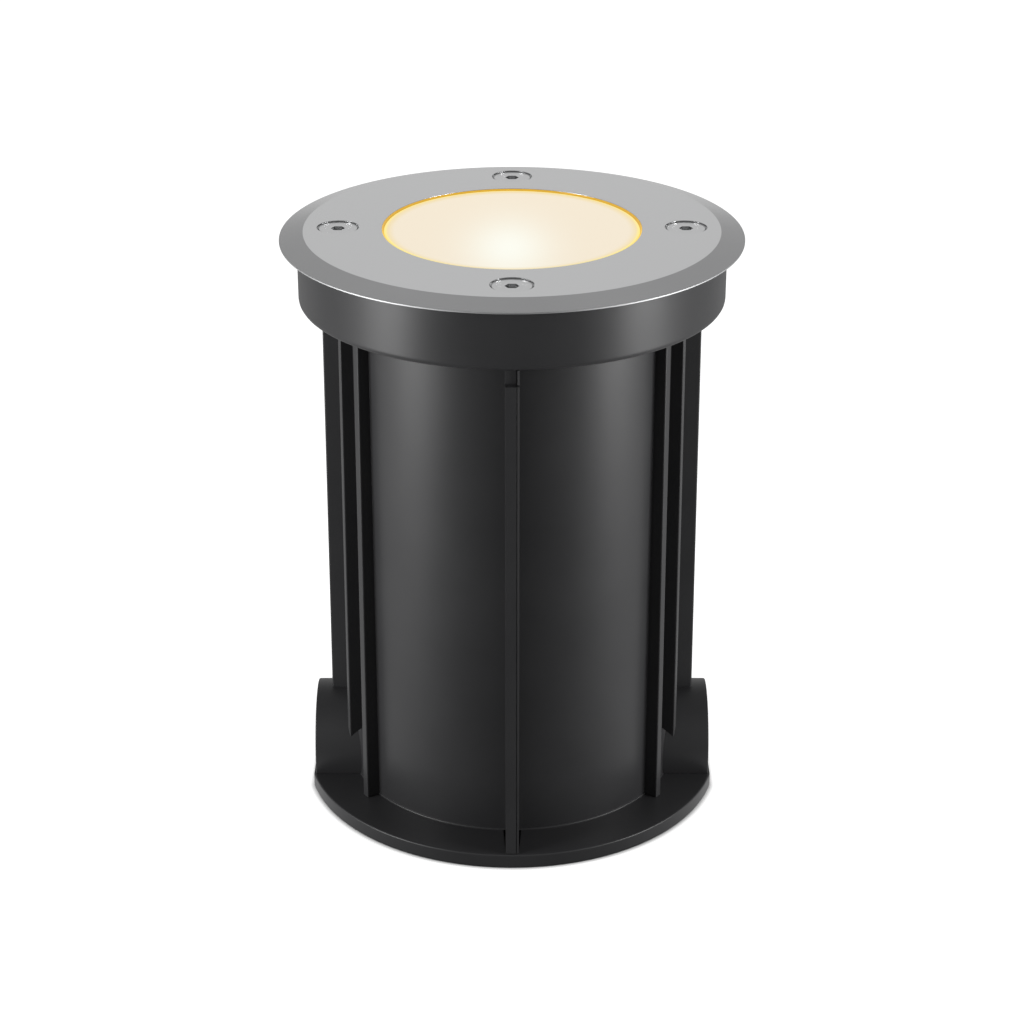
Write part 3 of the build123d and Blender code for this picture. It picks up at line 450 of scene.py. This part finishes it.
def refined(node, finish, ease=0.12):
    """A CAD node welded into one mesh, with its sharp edges eased, in its own finish."""
    work = bmesh.new()
    work.from_mesh(frame["nodes"][node].data)
    bmesh.ops.remove_doubles(work, verts=work.verts, dist=2e-6)
    bmesh.ops.dissolve_limit(work, angle_limit=radians(0.4), verts=work.verts, edges=work.edges)
    bmesh.ops.recalc_face_normals(work, faces=work.faces)
    mesh = bpy.data.meshes.new(node)
    work.to_mesh(mesh)
    work.free()
    piece = new_piece(f"fine_{node}", mesh)
    dressed(piece, finish, node)
    bevel = piece.modifiers.new("eased_edges", "BEVEL")
    bevel.width = ease * MM
    bevel.segments = 2
    bevel.limit_method = "ANGLE"
    bevel.angle_limit = radians(35)
    bevel.harden_normals = True


def turned_metal(name, dull, bright, satin, grooves, groove_depth=0.1, rim=1000.0):
    """Metal with a fine turned grain round the light's axis, and duller past a rim radius, if it has one."""
    material, place = new_finish(name)
    clouds = place.noise(60, 4)
    specks = place.noise(3200, 2)
    radius = place.from_axis()
    rings = (radius * grooves).math("SINE", radius * grooves)
    sawn = radius.fade((rim - 0.1) * MM, rim * MM, 0, 1)
    shade = (clouds * 0.7 + specks * 0.3).blend(dull, bright)
    surfaced(place, {
        "Base Color": sawn.blend(shade, [0.66 * part for part in dull]),
        "Metallic": 1.0,
        "Roughness": satin + 0.05 * (clouds - 0.5) + 0.06 * (specks - 0.5) + 0.3 * sawn,
        "Normal": (specks + groove_depth * rings).bump(0.15, 0.00002),
    })
    return material


rings = [sleeve_ring(BASE_TOP + lift, TUBE_R + FOOT_BEAD[0][1], flush=True) for lift in (0, FOOT_GAP)]
rings += [sleeve_ring(BASE_TOP + lift, TUBE_R + out) for lift, out in FOOT_BEAD]
wall_foot = BASE_TOP + FOOT_BEAD[-1][0]
wall_height = RIB_TOP - RIB_SLOPE - wall_foot
rings += [sleeve_ring(wall_foot + wall_height * (step + 1) / WALL_STEPS, TUBE_R) for step in range(WALL_STEPS)]
rings += [sleeve_ring(height, TUBE_R, RIB_NOTCH) for height in (RIB_TOP, COLLAR_BOTTOM)]
rings += [sleeve_ring(height, TUBE_R, RIB_NOTCH, True) for height in (COLLAR_BOTTOM, TUBE_TOP)]
sleeve = skinned("moulded_sleeve_tube", rings, False)
carved(sleeve, "UNION", hood(1), hood(-1))
for angle in SHORT_FINS:
    carved(sleeve, "UNION", short_fin(angle - 90), short_fin(270 - angle))
carved(sleeve, "DIFFERENCE", rod(TUBE_BORE_R, BASE_TOP - 1, TUBE_TOP + 1, segments=192), cross_bar(HOOD_BORE_R))
for angle in DIAGONALS:
    spot = spot_at(angle, SLEEVE_SCREW_CIRCLE_R)
    carved(sleeve, "UNION", rod(SLEEVE_BOSS_R, BASE_TOP, BASE_TOP + SLEEVE_BOSS_H, spot, 48))
    carved(sleeve, "DIFFERENCE", rod(SLEEVE_PILOT_R, BASE_TOP - 1, BASE_TOP + SLEEVE_BOSS_H - 1, spot, 32))
dressed(sleeve, sleeve_black, "sleeve_tube")

machined_steel = turned_metal("machined_steel", (0.5, 0.5, 0.51), (0.62, 0.62, 0.62), 0.28, 9000)
refined("sleeve_screws", machined_steel)


# ---------------------------------------------------------------------------------------
# Collar: the black ring round the tube's top that the light hangs in. Moulded in one,
# with a deck, a hub that slips over the tube, twelve stiffening webs and four bosses
# under the deck, and brass inserts pressed into the bosses.
# ---------------------------------------------------------------------------------------
COLLAR_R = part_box("collar")[1].x / MM
COLLAR_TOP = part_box("collar")[1].z / MM
POCKET_R = 65.9
DECK_TOP = 186.4
DECK_UNDER = 182.4
HUB_R = 58.0
HUB_BORE_R = 51.2
WEBS = 12
WEB_T = 1.6
BOSS_R = 5.8
INSERT_R = 4.0
COVER_SCREW_CIRCLE_R = 56.1
QUARTERS = {"screw_right": 0, "screw_back": 90, "screw_left": 180, "screw_front": 270}


def grown(name, grow, sizes):
    """A piece grown by geometry nodes: grow makes its geometry from the wires of these named sizes."""
    tree = bpy.data.node_groups.new(name, "GeometryNodeTree")
    kinds = {int: "NodeSocketInt", float: "NodeSocketFloat", tuple: "NodeSocketVector"}
    tree.interface.new_socket("Geometry", in_out="OUTPUT", socket_type="NodeSocketGeometry")
    for label, size in sizes.items():
        tree.interface.new_socket(label, in_out="INPUT", socket_type=kinds[type(size)])
    source = tree.nodes.new("NodeGroupInput")
    shape = grow({label: Wire(tree, source.outputs[label]) for label in sizes})
    shape = shape.node("GeometryNodeRealizeInstances", {}, {"Geometry": shape})
    finish = bpy.data.materials.get(name) or bpy.data.materials.new(name)
    shape = shape.node("GeometryNodeSetMaterial", {}, {"Geometry": shape, "Material": finish})
    shape.node("NodeGroupOutput", {}, {0: shape})
    made = new_piece(name, bpy.data.meshes.new(name))
    modifier = made.modifiers.new("grown", "NODES")
    modifier.node_group = tree
    for item in tree.interface.items_tree:
        if item.in_out == "INPUT":
            modifier[item.identifier] = sizes[item.name]
    return settled(made)


def ring_of_webs(size):
    """Upright blocks on a circle, each turned to face the axis. The first stands half a step round."""
    step = 2 * pi / size["Count"]
    circle = step.node("GeometryNodeMeshCircle", {}, {
        "Vertices": size["Count"], "Radius": size["Circle radius"]})
    block = step.node("GeometryNodeMeshCube", {}, {"Size": size["Web size"]})
    turn = step.node("GeometryNodeInputIndex", {}, {}) * step
    turn = turn.node("ShaderNodeCombineXYZ", {}, {"Z": turn})
    webs = step.node("GeometryNodeInstanceOnPoints", {}, {
        "Points": circle, "Instance": block, "Rotation": turn})
    place = step.node("ShaderNodeCombineXYZ", {}, {"Z": size["Height"]})
    half = step.node("ShaderNodeCombineXYZ", {}, {"Z": step / 2})
    return step.node("GeometryNodeTransform", {}, {"Geometry": webs, "Translation": place, "Rotation": half})


collar_black = moulding("collar_black", (0.019, 0.019, 0.02), (0.024, 0.024, 0.025), 0.4, 0.3)
collar = turned("moulded_collar", eased([
    (TUBE_R + 0.1, COLLAR_BOTTOM, 0.2), (HUB_R, COLLAR_BOTTOM, 0.3), (HUB_R, DECK_UNDER, 0.5),
    (POCKET_R, DECK_UNDER, 0.5), (POCKET_R, COLLAR_BOTTOM, 0.4), (COLLAR_R, COLLAR_BOTTOM, 1.5),
    (COLLAR_R, COLLAR_TOP, 0.35), (POCKET_R, COLLAR_TOP, 0.3), (POCKET_R, DECK_TOP, 0.4),
    (HUB_BORE_R, DECK_TOP, 0.3), (HUB_BORE_R, TUBE_TOP, 0.2), (TUBE_R + 0.1, TUBE_TOP, 0.1)]), 256)
webs = grown("webs", ring_of_webs, {
    "Count": WEBS, "Circle radius": (HUB_R + POCKET_R) / 2 * MM, "Height": (TUBE_TOP + DECK_UNDER) / 2 * MM,
    "Web size": ((POCKET_R - HUB_R + 1) * MM, WEB_T * MM, (DECK_UNDER - TUBE_TOP + 1) * MM)})
carved(collar, "UNION", webs)
insert_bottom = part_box("threaded_inserts")[0].z / MM
for angle in QUARTERS.values():
    spot = spot_at(angle, COVER_SCREW_CIRCLE_R)
    carved(collar, "UNION", rod(BOSS_R, TUBE_TOP, DECK_UNDER + 1, spot, 48))
    carved(collar, "DIFFERENCE", rod(INSERT_R, insert_bottom, DECK_TOP + 1, spot, 48))
carved(collar, "DIFFERENCE", rod(HUB_BORE_R, COLLAR_BOTTOM - 1, DECK_TOP + 1, segments=256))
dressed(collar, collar_black, "collar")

brass = turned_metal("machined_brass", (0.62, 0.45, 0.18), (0.72, 0.56, 0.26), 0.25, 7000)
refined("threaded_inserts", brass)


# ---------------------------------------------------------------------------------------
# Housing: the die-cast aluminium pot that hangs in the sleeve, a barrel with a flange and
# a screwed base with a rubber seal between them, and a plug that lets it breathe.
# ---------------------------------------------------------------------------------------
def cast_metal(name, dull, bright, satin):
    """Die-cast or plated metal: mottled in tone and gloss, with a slightly uneven skin."""
    material, place = new_finish(name)
    mottle = place.noise(160, 5)
    skin = place.noise(900, 3)
    surfaced(place, {
        "Base Color": mottle.blend(dull, bright),
        "Metallic": 0.9,
        "Roughness": satin + 0.16 * (mottle - 0.5) + 0.08 * (skin - 0.5),
        "Normal": skin.bump(0.25, 0.00006),
    })
    return material


cast_aluminium = cast_metal("cast_aluminium", (0.44, 0.45, 0.46), (0.54, 0.55, 0.56), 0.48)
rubber = moulding("seal_rubber", (0.018, 0.018, 0.018), (0.03, 0.03, 0.03), 0.7, 0.2, 0.2)
gland_nylon = moulding("gland_nylon", (0.035, 0.035, 0.036), (0.048, 0.048, 0.05), 0.45, 0.35)
refined("housing_barrel", cast_aluminium, 0.3)
refined("housing_base", cast_aluminium, 0.3)
refined("base_seal", rubber)
refined("base_screws", machined_steel)
refined("breather_plug", gland_nylon)


# ---------------------------------------------------------------------------------------
# Cable glands: two nylon glands through the housing's base, each with a sealing ring, a
# locknut inside, a rubber seal for the cable and a domed hexagon nut that presses on it.
# ---------------------------------------------------------------------------------------
refined("gland_orings", rubber)
refined("gland_locknuts", gland_nylon, 0.25)
for end in ("front", "rear"):
    refined(f"gland_body_{end}", gland_nylon, 0.2)
    refined(f"gland_seal_{end}", rubber)
    refined(f"gland_nut_{end}", gland_nylon, 0.3)


# ---------------------------------------------------------------------------------------
# Lamp holder: a zinc-plated strap across the housing carries a ceramic holder with two
# brass contacts. Silicone leads run from it to a terminal block, with an earth screw.
# ---------------------------------------------------------------------------------------
zinc_plate = cast_metal("zinc_plate", (0.5, 0.51, 0.54), (0.6, 0.61, 0.63), 0.33)
ceramic = moulding("unglazed_ceramic", (0.78, 0.76, 0.71), (0.86, 0.85, 0.8), 0.5, 0.45, 0.2)
white_nylon = moulding("white_nylon", (0.78, 0.78, 0.75), (0.85, 0.85, 0.82), 0.4, 0.45)
lead_silicone = moulding("lead_silicone", (0.66, 0.63, 0.56), (0.75, 0.72, 0.65), 0.55, 0.4)
refined("lamp_bracket", zinc_plate, 0.2)
refined("bracket_screws", machined_steel)
refined("lamp_holder", ceramic, 0.3)
refined("holder_screws", machined_steel)
refined("holder_contacts", brass)
refined("terminal_block", white_nylon, 0.2)
refined("terminal_screws", brass)
refined("earth_screw", brass)
refined("lamp_leads", lead_silicone, 0.1)


# ---------------------------------------------------------------------------------------
# Reflector and lamp: a spun, polished aluminium cone, and in its mouth a twist-lock
# reflector lamp, which is an aluminium shell with a ceramic neck, two pins and a lens.
# ---------------------------------------------------------------------------------------
spun_aluminium = turned_metal("spun_aluminium", (0.78, 0.79, 0.8), (0.86, 0.87, 0.88), 0.14, 5000, 0.6)
nickel = turned_metal("nickel_plate", (0.66, 0.64, 0.6), (0.75, 0.74, 0.7), 0.2, 6000)
lit_lens, place = new_finish("lit_lens")
facets = place.noise(420, 1)
surfaced(place, {
    "Base Color": facets.blend((0.7, 0.69, 0.65), (0.85, 0.84, 0.8)),
    "Roughness": 0.15 + 0.1 * facets,
    "Emission Color": facets.blend((0.95, 0.78, 0.5), (1.0, 0.9, 0.72)),
    "Emission Strength": 1.0,
    "Normal": facets.bump(0.4, 0.0003),
})
refined("reflector", spun_aluminium, 0.15)
refined("lamp_shell", spun_aluminium, 0.2)
refined("lamp_neck", ceramic, 0.3)
refined("lamp_pins", nickel)
refined("lamp_lens", lit_lens)


# ---------------------------------------------------------------------------------------
# Cover ring: turned stainless steel with a wide bevel and four countersinks, and a spigot
# below that centres it in the collar. Its faces have a fine satin, and its edge is sawn.
# A rubber gasket lies between it and the housing's flange.
# ---------------------------------------------------------------------------------------
COVER_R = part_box("cover_ring")[1].x / MM
COVER_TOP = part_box("cover_ring")[1].z / MM
COVER_BOTTOM = COVER_TOP - 3.0
SEAT_GAP = 0.02  # above the gasket
SPIGOT_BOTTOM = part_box("cover_ring")[0].z / MM + SEAT_GAP
SPIGOT_R = 65.4
SPIGOT_BORE_R = 48.8
OPENING_R = 41.9
BEVEL_W = 7.7
EDGE_LOW = 0.3  # the upright edge, above the underside
EDGE_HIGH = 0.75
COUNTERSINK_R = 6.8
COUNTERSINK_LAND = 0.5
COUNTERSINK_LIP = 0.16
COVER_HOLE_R = 3.4

cover_steel = turned_metal("cover_satin_steel", (0.585, 0.588, 0.595), (0.625, 0.627, 0.63), 0.25, 9000,
                           rim=COVER_R - 0.05)
cover = turned("turned_cover_ring", eased([
    (OPENING_R, COVER_BOTTOM, 0.15), (SPIGOT_BORE_R, COVER_BOTTOM, 0.15), (SPIGOT_BORE_R, SPIGOT_BOTTOM, 0.2),
    (SPIGOT_R, SPIGOT_BOTTOM, 0.2), (SPIGOT_R, COVER_BOTTOM, 0.15), (COVER_R, COVER_BOTTOM + EDGE_LOW, 0.1),
    (COVER_R, COVER_BOTTOM + EDGE_HIGH, 0.12), (COVER_R - BEVEL_W, COVER_TOP, 0.5),
    (OPENING_R, COVER_TOP, 0.12)]), 256)
sink_top = COVER_TOP - COUNTERSINK_LAND
sink = [(0, SPIGOT_BOTTOM - 1), (COVER_HOLE_R, SPIGOT_BOTTOM - 1),
        (COVER_HOLE_R, sink_top - (COUNTERSINK_R - COVER_HOLE_R)), (COUNTERSINK_R, sink_top),
        (COUNTERSINK_R, COVER_TOP - COUNTERSINK_LIP / 2),
        (COUNTERSINK_R + COUNTERSINK_LIP, COVER_TOP + COUNTERSINK_LIP / 2),
        (COUNTERSINK_R + COUNTERSINK_LIP, COVER_TOP + 1), (0, COVER_TOP + 1)]
for angle in QUARTERS.values():
    carved(cover, "DIFFERENCE", turned("countersink", sink, 96, spot_at(angle, COVER_SCREW_CIRCLE_R)))
dressed(cover, cover_steel, "cover_ring")
refined("cover_gasket", rubber)


# ---------------------------------------------------------------------------------------
# Glass: a stepped disc of toughened glass, etched satin, with the lamp's warm light behind
# it painted as a glow in the glass and the bead. Silicone seals it below, and a line of the same silicone beads
# it into the ring.
# ---------------------------------------------------------------------------------------
GLASS_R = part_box("glass")[1].x / MM
GLASS_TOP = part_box("glass")[1].z / MM
GLASS_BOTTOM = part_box("glass")[0].z / MM
GLASS_FACE_R = 41.2
GLASS_SHOULDER = 194.0

glass_painted_glow, place = new_finish("etched_glass_painted_glow")
etching = place.noise(900, 3)
# Painted light: the glass's emission paints the lamp's glow through it. It is brightest in a painted hot spot
# set 20 mm towards the front.
HOT_SPOT = (0.001, 0.020, 0)
HOT_SPOT_SHAPE = (1, 0.45, 0)
HOT_SPOT_R = 0.0128
across = place.vector("ADD", HOT_SPOT).vector("MULTIPLY", HOT_SPOT_SHAPE).length()
spread = (across / HOT_SPOT_R) ** 2
hot = spread.math("EXPONENT", spread * -1)
edge = place.from_axis() / (GLASS_FACE_R * MM)
painted_lamp_glow = hot.blend((0.783, 0.686, 0.534), (0.85, 0.85, 0.76))
# Painted light: an amber band inside the rim, wider towards the back, and a gold ring at the rim itself, both
# painted into the glow.
painted_edge_reach = edge + 0.4 * place.axis(1)
painted_amber_edge = painted_edge_reach.fade(0.91, 0.985, 0, 1).blend(painted_lamp_glow, (0.78, 0.63, 0.34))
surfaced(place, {
    "Base Color": place.noise(30, 3).blend((0.08, 0.075, 0.06), (0.1, 0.095, 0.08)),
    "Specular IOR Level": 0.3,
    "Roughness": 0.3 + 0.08 * (etching - 0.5),
    "Emission Color": edge.fade(0.968, 0.992, 0, 1).blend(painted_amber_edge, (0.9, 0.74, 0.22)),
    "Emission Strength": 1.0,
    "Normal": etching.bump(0.1, 0.00002),
})
glass = turned("etched_glass", eased([
    (0, GLASS_BOTTOM, 0), (GLASS_R, GLASS_BOTTOM, 0.3), (GLASS_R, GLASS_SHOULDER, 0.3),
    (GLASS_FACE_R, GLASS_SHOULDER, 0.1), (GLASS_FACE_R, GLASS_TOP, 0.35), (0, GLASS_TOP, 0)]), 256)
dressed(glass, glass_painted_glow, "glass")

# Painted light: the bead's amber emission paints the lamp's glow through the silicone.
bead_painted_glow, place = new_finish("clear_silicone_painted_glow")
ripple = place.noise(400, 3)
surfaced(place, {
    "Base Color": ripple.blend((0.25, 0.14, 0.02), (0.35, 0.2, 0.03)),
    "Roughness": 0.2 + 0.1 * ripple,
    "Emission Color": ripple.blend((0.5, 0.28, 0.015), (0.58, 0.34, 0.025)),
    "Emission Strength": 1.0,
})
bead = turned("silicone_bead", [
    (GLASS_FACE_R + 0.02, GLASS_SHOULDER), (GLASS_R - 0.1, GLASS_SHOULDER),
    (GLASS_R - 0.1, COVER_BOTTOM - 0.02),
    (OPENING_R - 0.02, COVER_BOTTOM - 0.02), (OPENING_R - 0.02, COVER_TOP - 0.1),
    (OPENING_R - 0.2, COVER_TOP - 0.35), (OPENING_R - 0.42, GLASS_TOP - 0.05),
    (GLASS_FACE_R + 0.02, GLASS_TOP - 0.25)], 256)
dressed(bead, bead_painted_glow, "glass_bead")
clear_silicone = moulding("clear_silicone", (0.72, 0.6, 0.38), (0.8, 0.68, 0.44), 0.35, 0.4)
refined("glass_seal", clear_silicone)


# ---------------------------------------------------------------------------------------
# Cover screws: four M6 countersunk hexagon-socket screws in stainless steel, 20 mm long.
# They pass through the cover and the housing's flange into the collar's brass inserts.
# ---------------------------------------------------------------------------------------
SCREW_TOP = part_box("screw_front")[1].z / MM
SCREW_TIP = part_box("screw_front")[0].z / MM
SCREW_R = 3.0
SCREW_ROOT_R = 2.55
SCREW_PITCH = 1.0
SCREW_HEAD_R = 6.2
SCREW_HEAD_LAND = 0.3
SOCKET_FLATS = 4.0
SOCKET_R = SOCKET_FLATS / sqrt(3)
SOCKET_D = 1.2
SOCKET_POINT = 0.4


def thread(size):
    """A rounded ridge that climbs round the shank as a helix, one pitch to the turn."""
    turns = size["Length"] / size["Pitch"]
    helix = turns.node("GeometryNodeCurveSpiral", {}, {
        "Resolution": 40, "Rotations": turns, "Start Radius": size["Radius"], "End Radius": size["Radius"],
        "Height": size["Length"]})
    ridge = turns.node("GeometryNodeCurvePrimitiveCircle", {}, {"Resolution": 8, "Radius": size["Depth"]})
    swept = turns.node("GeometryNodeCurveToMesh", {}, {
        "Curve": helix, "Profile Curve": ridge, "Fill Caps": True})
    place = turns.node("ShaderNodeCombineXYZ", {}, {"Z": size["Height"]})
    return turns.node("GeometryNodeTransform", {}, {"Geometry": swept, "Translation": place})


screw_steel = turned_metal("screw_steel", (0.56, 0.565, 0.57), (0.62, 0.622, 0.625), 0.25, 9000)
cone_top = SCREW_TOP - SCREW_HEAD_LAND
cone_bottom = cone_top - (SCREW_HEAD_R - SCREW_R)
screw = turned("cover_screw", eased([
    (0, SCREW_TIP, 0), (SCREW_ROOT_R - 0.5, SCREW_TIP, 0), (SCREW_ROOT_R, SCREW_TIP + 0.5, 0.1),
    (SCREW_ROOT_R, cone_bottom - 1.5, 0.1), (SCREW_R, cone_bottom - 1.0, 0.1), (SCREW_R, cone_bottom, 0.2),
    (SCREW_HEAD_R, cone_top, 0.08), (SCREW_HEAD_R, SCREW_TOP, 0.12), (0, SCREW_TOP, 0)]), 96)
thread_start = SCREW_TIP + 0.7
ridge = grown("thread", thread, {
    "Radius": SCREW_ROOT_R * MM, "Depth": (SCREW_R - SCREW_ROOT_R) * MM, "Pitch": SCREW_PITCH * MM,
    "Height": thread_start * MM, "Length": (cone_bottom - 1.9 - thread_start) * MM})
socket = turned("socket", [
    (0, SCREW_TOP - SOCKET_D - SOCKET_POINT), (SOCKET_R, SCREW_TOP - SOCKET_D), (SOCKET_R, SCREW_TOP + 1),
    (0, SCREW_TOP + 1)], 6)
carved(screw, "UNION", ridge)
carved(screw, "DIFFERENCE", socket)
for name, angle in QUARTERS.items():
    x, y = spot_at(angle, COVER_SCREW_CIRCLE_R)
    mesh = screw.data.copy()
    mesh.transform(Matrix.Translation((x * MM, y * MM, 0)))
    dressed(new_piece(f"socket_{name}", mesh), screw_steel, name)
bpy.data.objects.remove(screw)


# ---------------------------------------------------------------------------------------
# Studio: the camera at the photograph's height and distance, a white floor that carries a
# painted contact shadow round the foot, and two large soft lights low at the sides, so that each side of the
# tube shows one soft band.
# The room is darker towards the camera, and a bright card stands behind for the steel.
# ---------------------------------------------------------------------------------------
camera = bpy.data.objects.new("camera", bpy.data.cameras.new("camera"))
camera.data.lens = 86.99
camera.data.sensor_width = 36.0
camera.location = (0, -0.7637, 0.4445)
camera.rotation_euler = (radians(65.5006), 0, 0)
bpy.context.scene.collection.objects.link(camera)
bpy.context.scene.camera = camera

LIGHT_DISTANCE = 0.5
LIGHT_HEIGHT = 0.16
LIGHT_W = 0.2
LIGHT_H = 0.3
SIDE_LIGHTS = ((-1, 62, 16.0), (1, 67, 15.0))  # side, degrees from the front, and radiance
middle_of_light = Vector((0, 0, 0.1))
for side, azimuth, radiance in SIDE_LIGHTS:
    softbox = bpy.data.lights.new("side_light", "AREA")
    softbox.shape = "RECTANGLE"
    softbox.size = LIGHT_W
    softbox.size_y = LIGHT_H
    softbox.energy = radiance * pi * LIGHT_W * LIGHT_H
    spot = Vector((side * LIGHT_DISTANCE * sin(radians(azimuth)), -LIGHT_DISTANCE * cos(radians(azimuth)),
                   LIGHT_HEIGHT))
    light = bpy.data.objects.new("side_light", softbox)
    light.location = spot
    light.rotation_euler = (middle_of_light - spot).to_track_quat("-Z", "Y").to_euler()
    light.visible_camera = False
    bpy.context.scene.collection.objects.link(light)


def ray_kinds(tree):
    """Wires that are 1 for a camera ray, for a mirrored ray and for a ray through glass."""
    path = tree.nodes.new("ShaderNodeLightPath")
    return [Wire(tree, path.outputs[f"Is {kind} Ray"]) for kind in ("Camera", "Glossy", "Transmission")]


FLOOR_R = 4000.0
FLOOR_T = 10.0
floor = turned("floor", [(FLOOR_R, 0), (0, 0), (0, -FLOOR_T), (FLOOR_R, -FLOOR_T)], 64)
white, place = new_finish("white_floor")
camera_ray, glossy_ray, clear_ray = ray_kinds(place.tree)
far = place.length()
# Painted shadow: an ambient-occlusion node darkens the floor's white where it meets the base plate.
contact = place.node("ShaderNodeAmbientOcclusion", {"samples": 8}, {"Distance": 0.0018}, "AO")
white_level = far.fade(0.075, 0.12, 0.85, 1.0) * contact ** 2
behind = place.axis(1) / far
in_front = behind.fade(-0.97, -0.3, 0.08, 0.85)
at_back = behind.fade(0.93, 0.985, 0, 0.22) - behind.fade(0.75, 0.88, 0, 0.2)
mirrored_level = in_front - behind.fade(-0.1, 0.3, 0, 0.25) + at_back
level = white_level * (1 - glossy_ray) + mirrored_level * glossy_ray
glowing = place.node("ShaderNodeEmission", {}, {"Color": level.blend((0, 0, 0), (1, 1, 1)), "Strength": 1.0})
paper = glossy_ray.blend((0.4, 0.4, 0.4), (0, 0, 0))
paper = place.node("ShaderNodeBsdfDiffuse", {}, {"Color": paper})
lit_paper = place.node("ShaderNodeAddShader", {}, {0: paper, 1: glowing})
dim_paper = place.node("ShaderNodeBsdfDiffuse", {}, {"Color": (0.3, 0.3, 0.3, 1)})
bright_rays = camera_ray + glossy_ray + clear_ray
floor_shader = place.node("ShaderNodeMixShader", {}, {0: bright_rays, 1: dim_paper, 2: lit_paper})
place.node("ShaderNodeOutputMaterial", {}, {"Surface": floor_shader})
floor.data.materials.append(white)

world = bpy.data.worlds.new("studio")
world.use_nodes = True
world.node_tree.nodes.clear()
direction = Wire(world.node_tree, world.node_tree.nodes.new("ShaderNodeTexCoord").outputs["Generated"])
camera_ray, glossy_ray, clear_ray = ray_kinds(world.node_tree)
sideways = direction.axis(0)
card = sideways.math("ABSOLUTE", sideways).fade(0.12, 0.24, 1, 0)
card = card * direction.axis(1).fade(0, 0.2, 0, 1) * direction.axis(2).fade(0.55, 0.75, 1, 0)
mirrored = glossy_ray + clear_ray
room = 0.22 + direction.axis(1).fade(-0.2, 0.2, 0, 0.18) + 0.35 * card
level = camera_ray + (1 - camera_ray) * (mirrored * room + (1 - mirrored) * 0.3)
backdrop = direction.node("ShaderNodeBackground", {}, {
    "Color": level.blend((0, 0, 0), (1, 1, 1)), "Strength": 1.0})
direction.node("ShaderNodeOutputWorld", {}, {"Surface": backdrop})
bpy.context.scene.world = world
bpy.context.scene.view_settings.view_transform = "Standard"
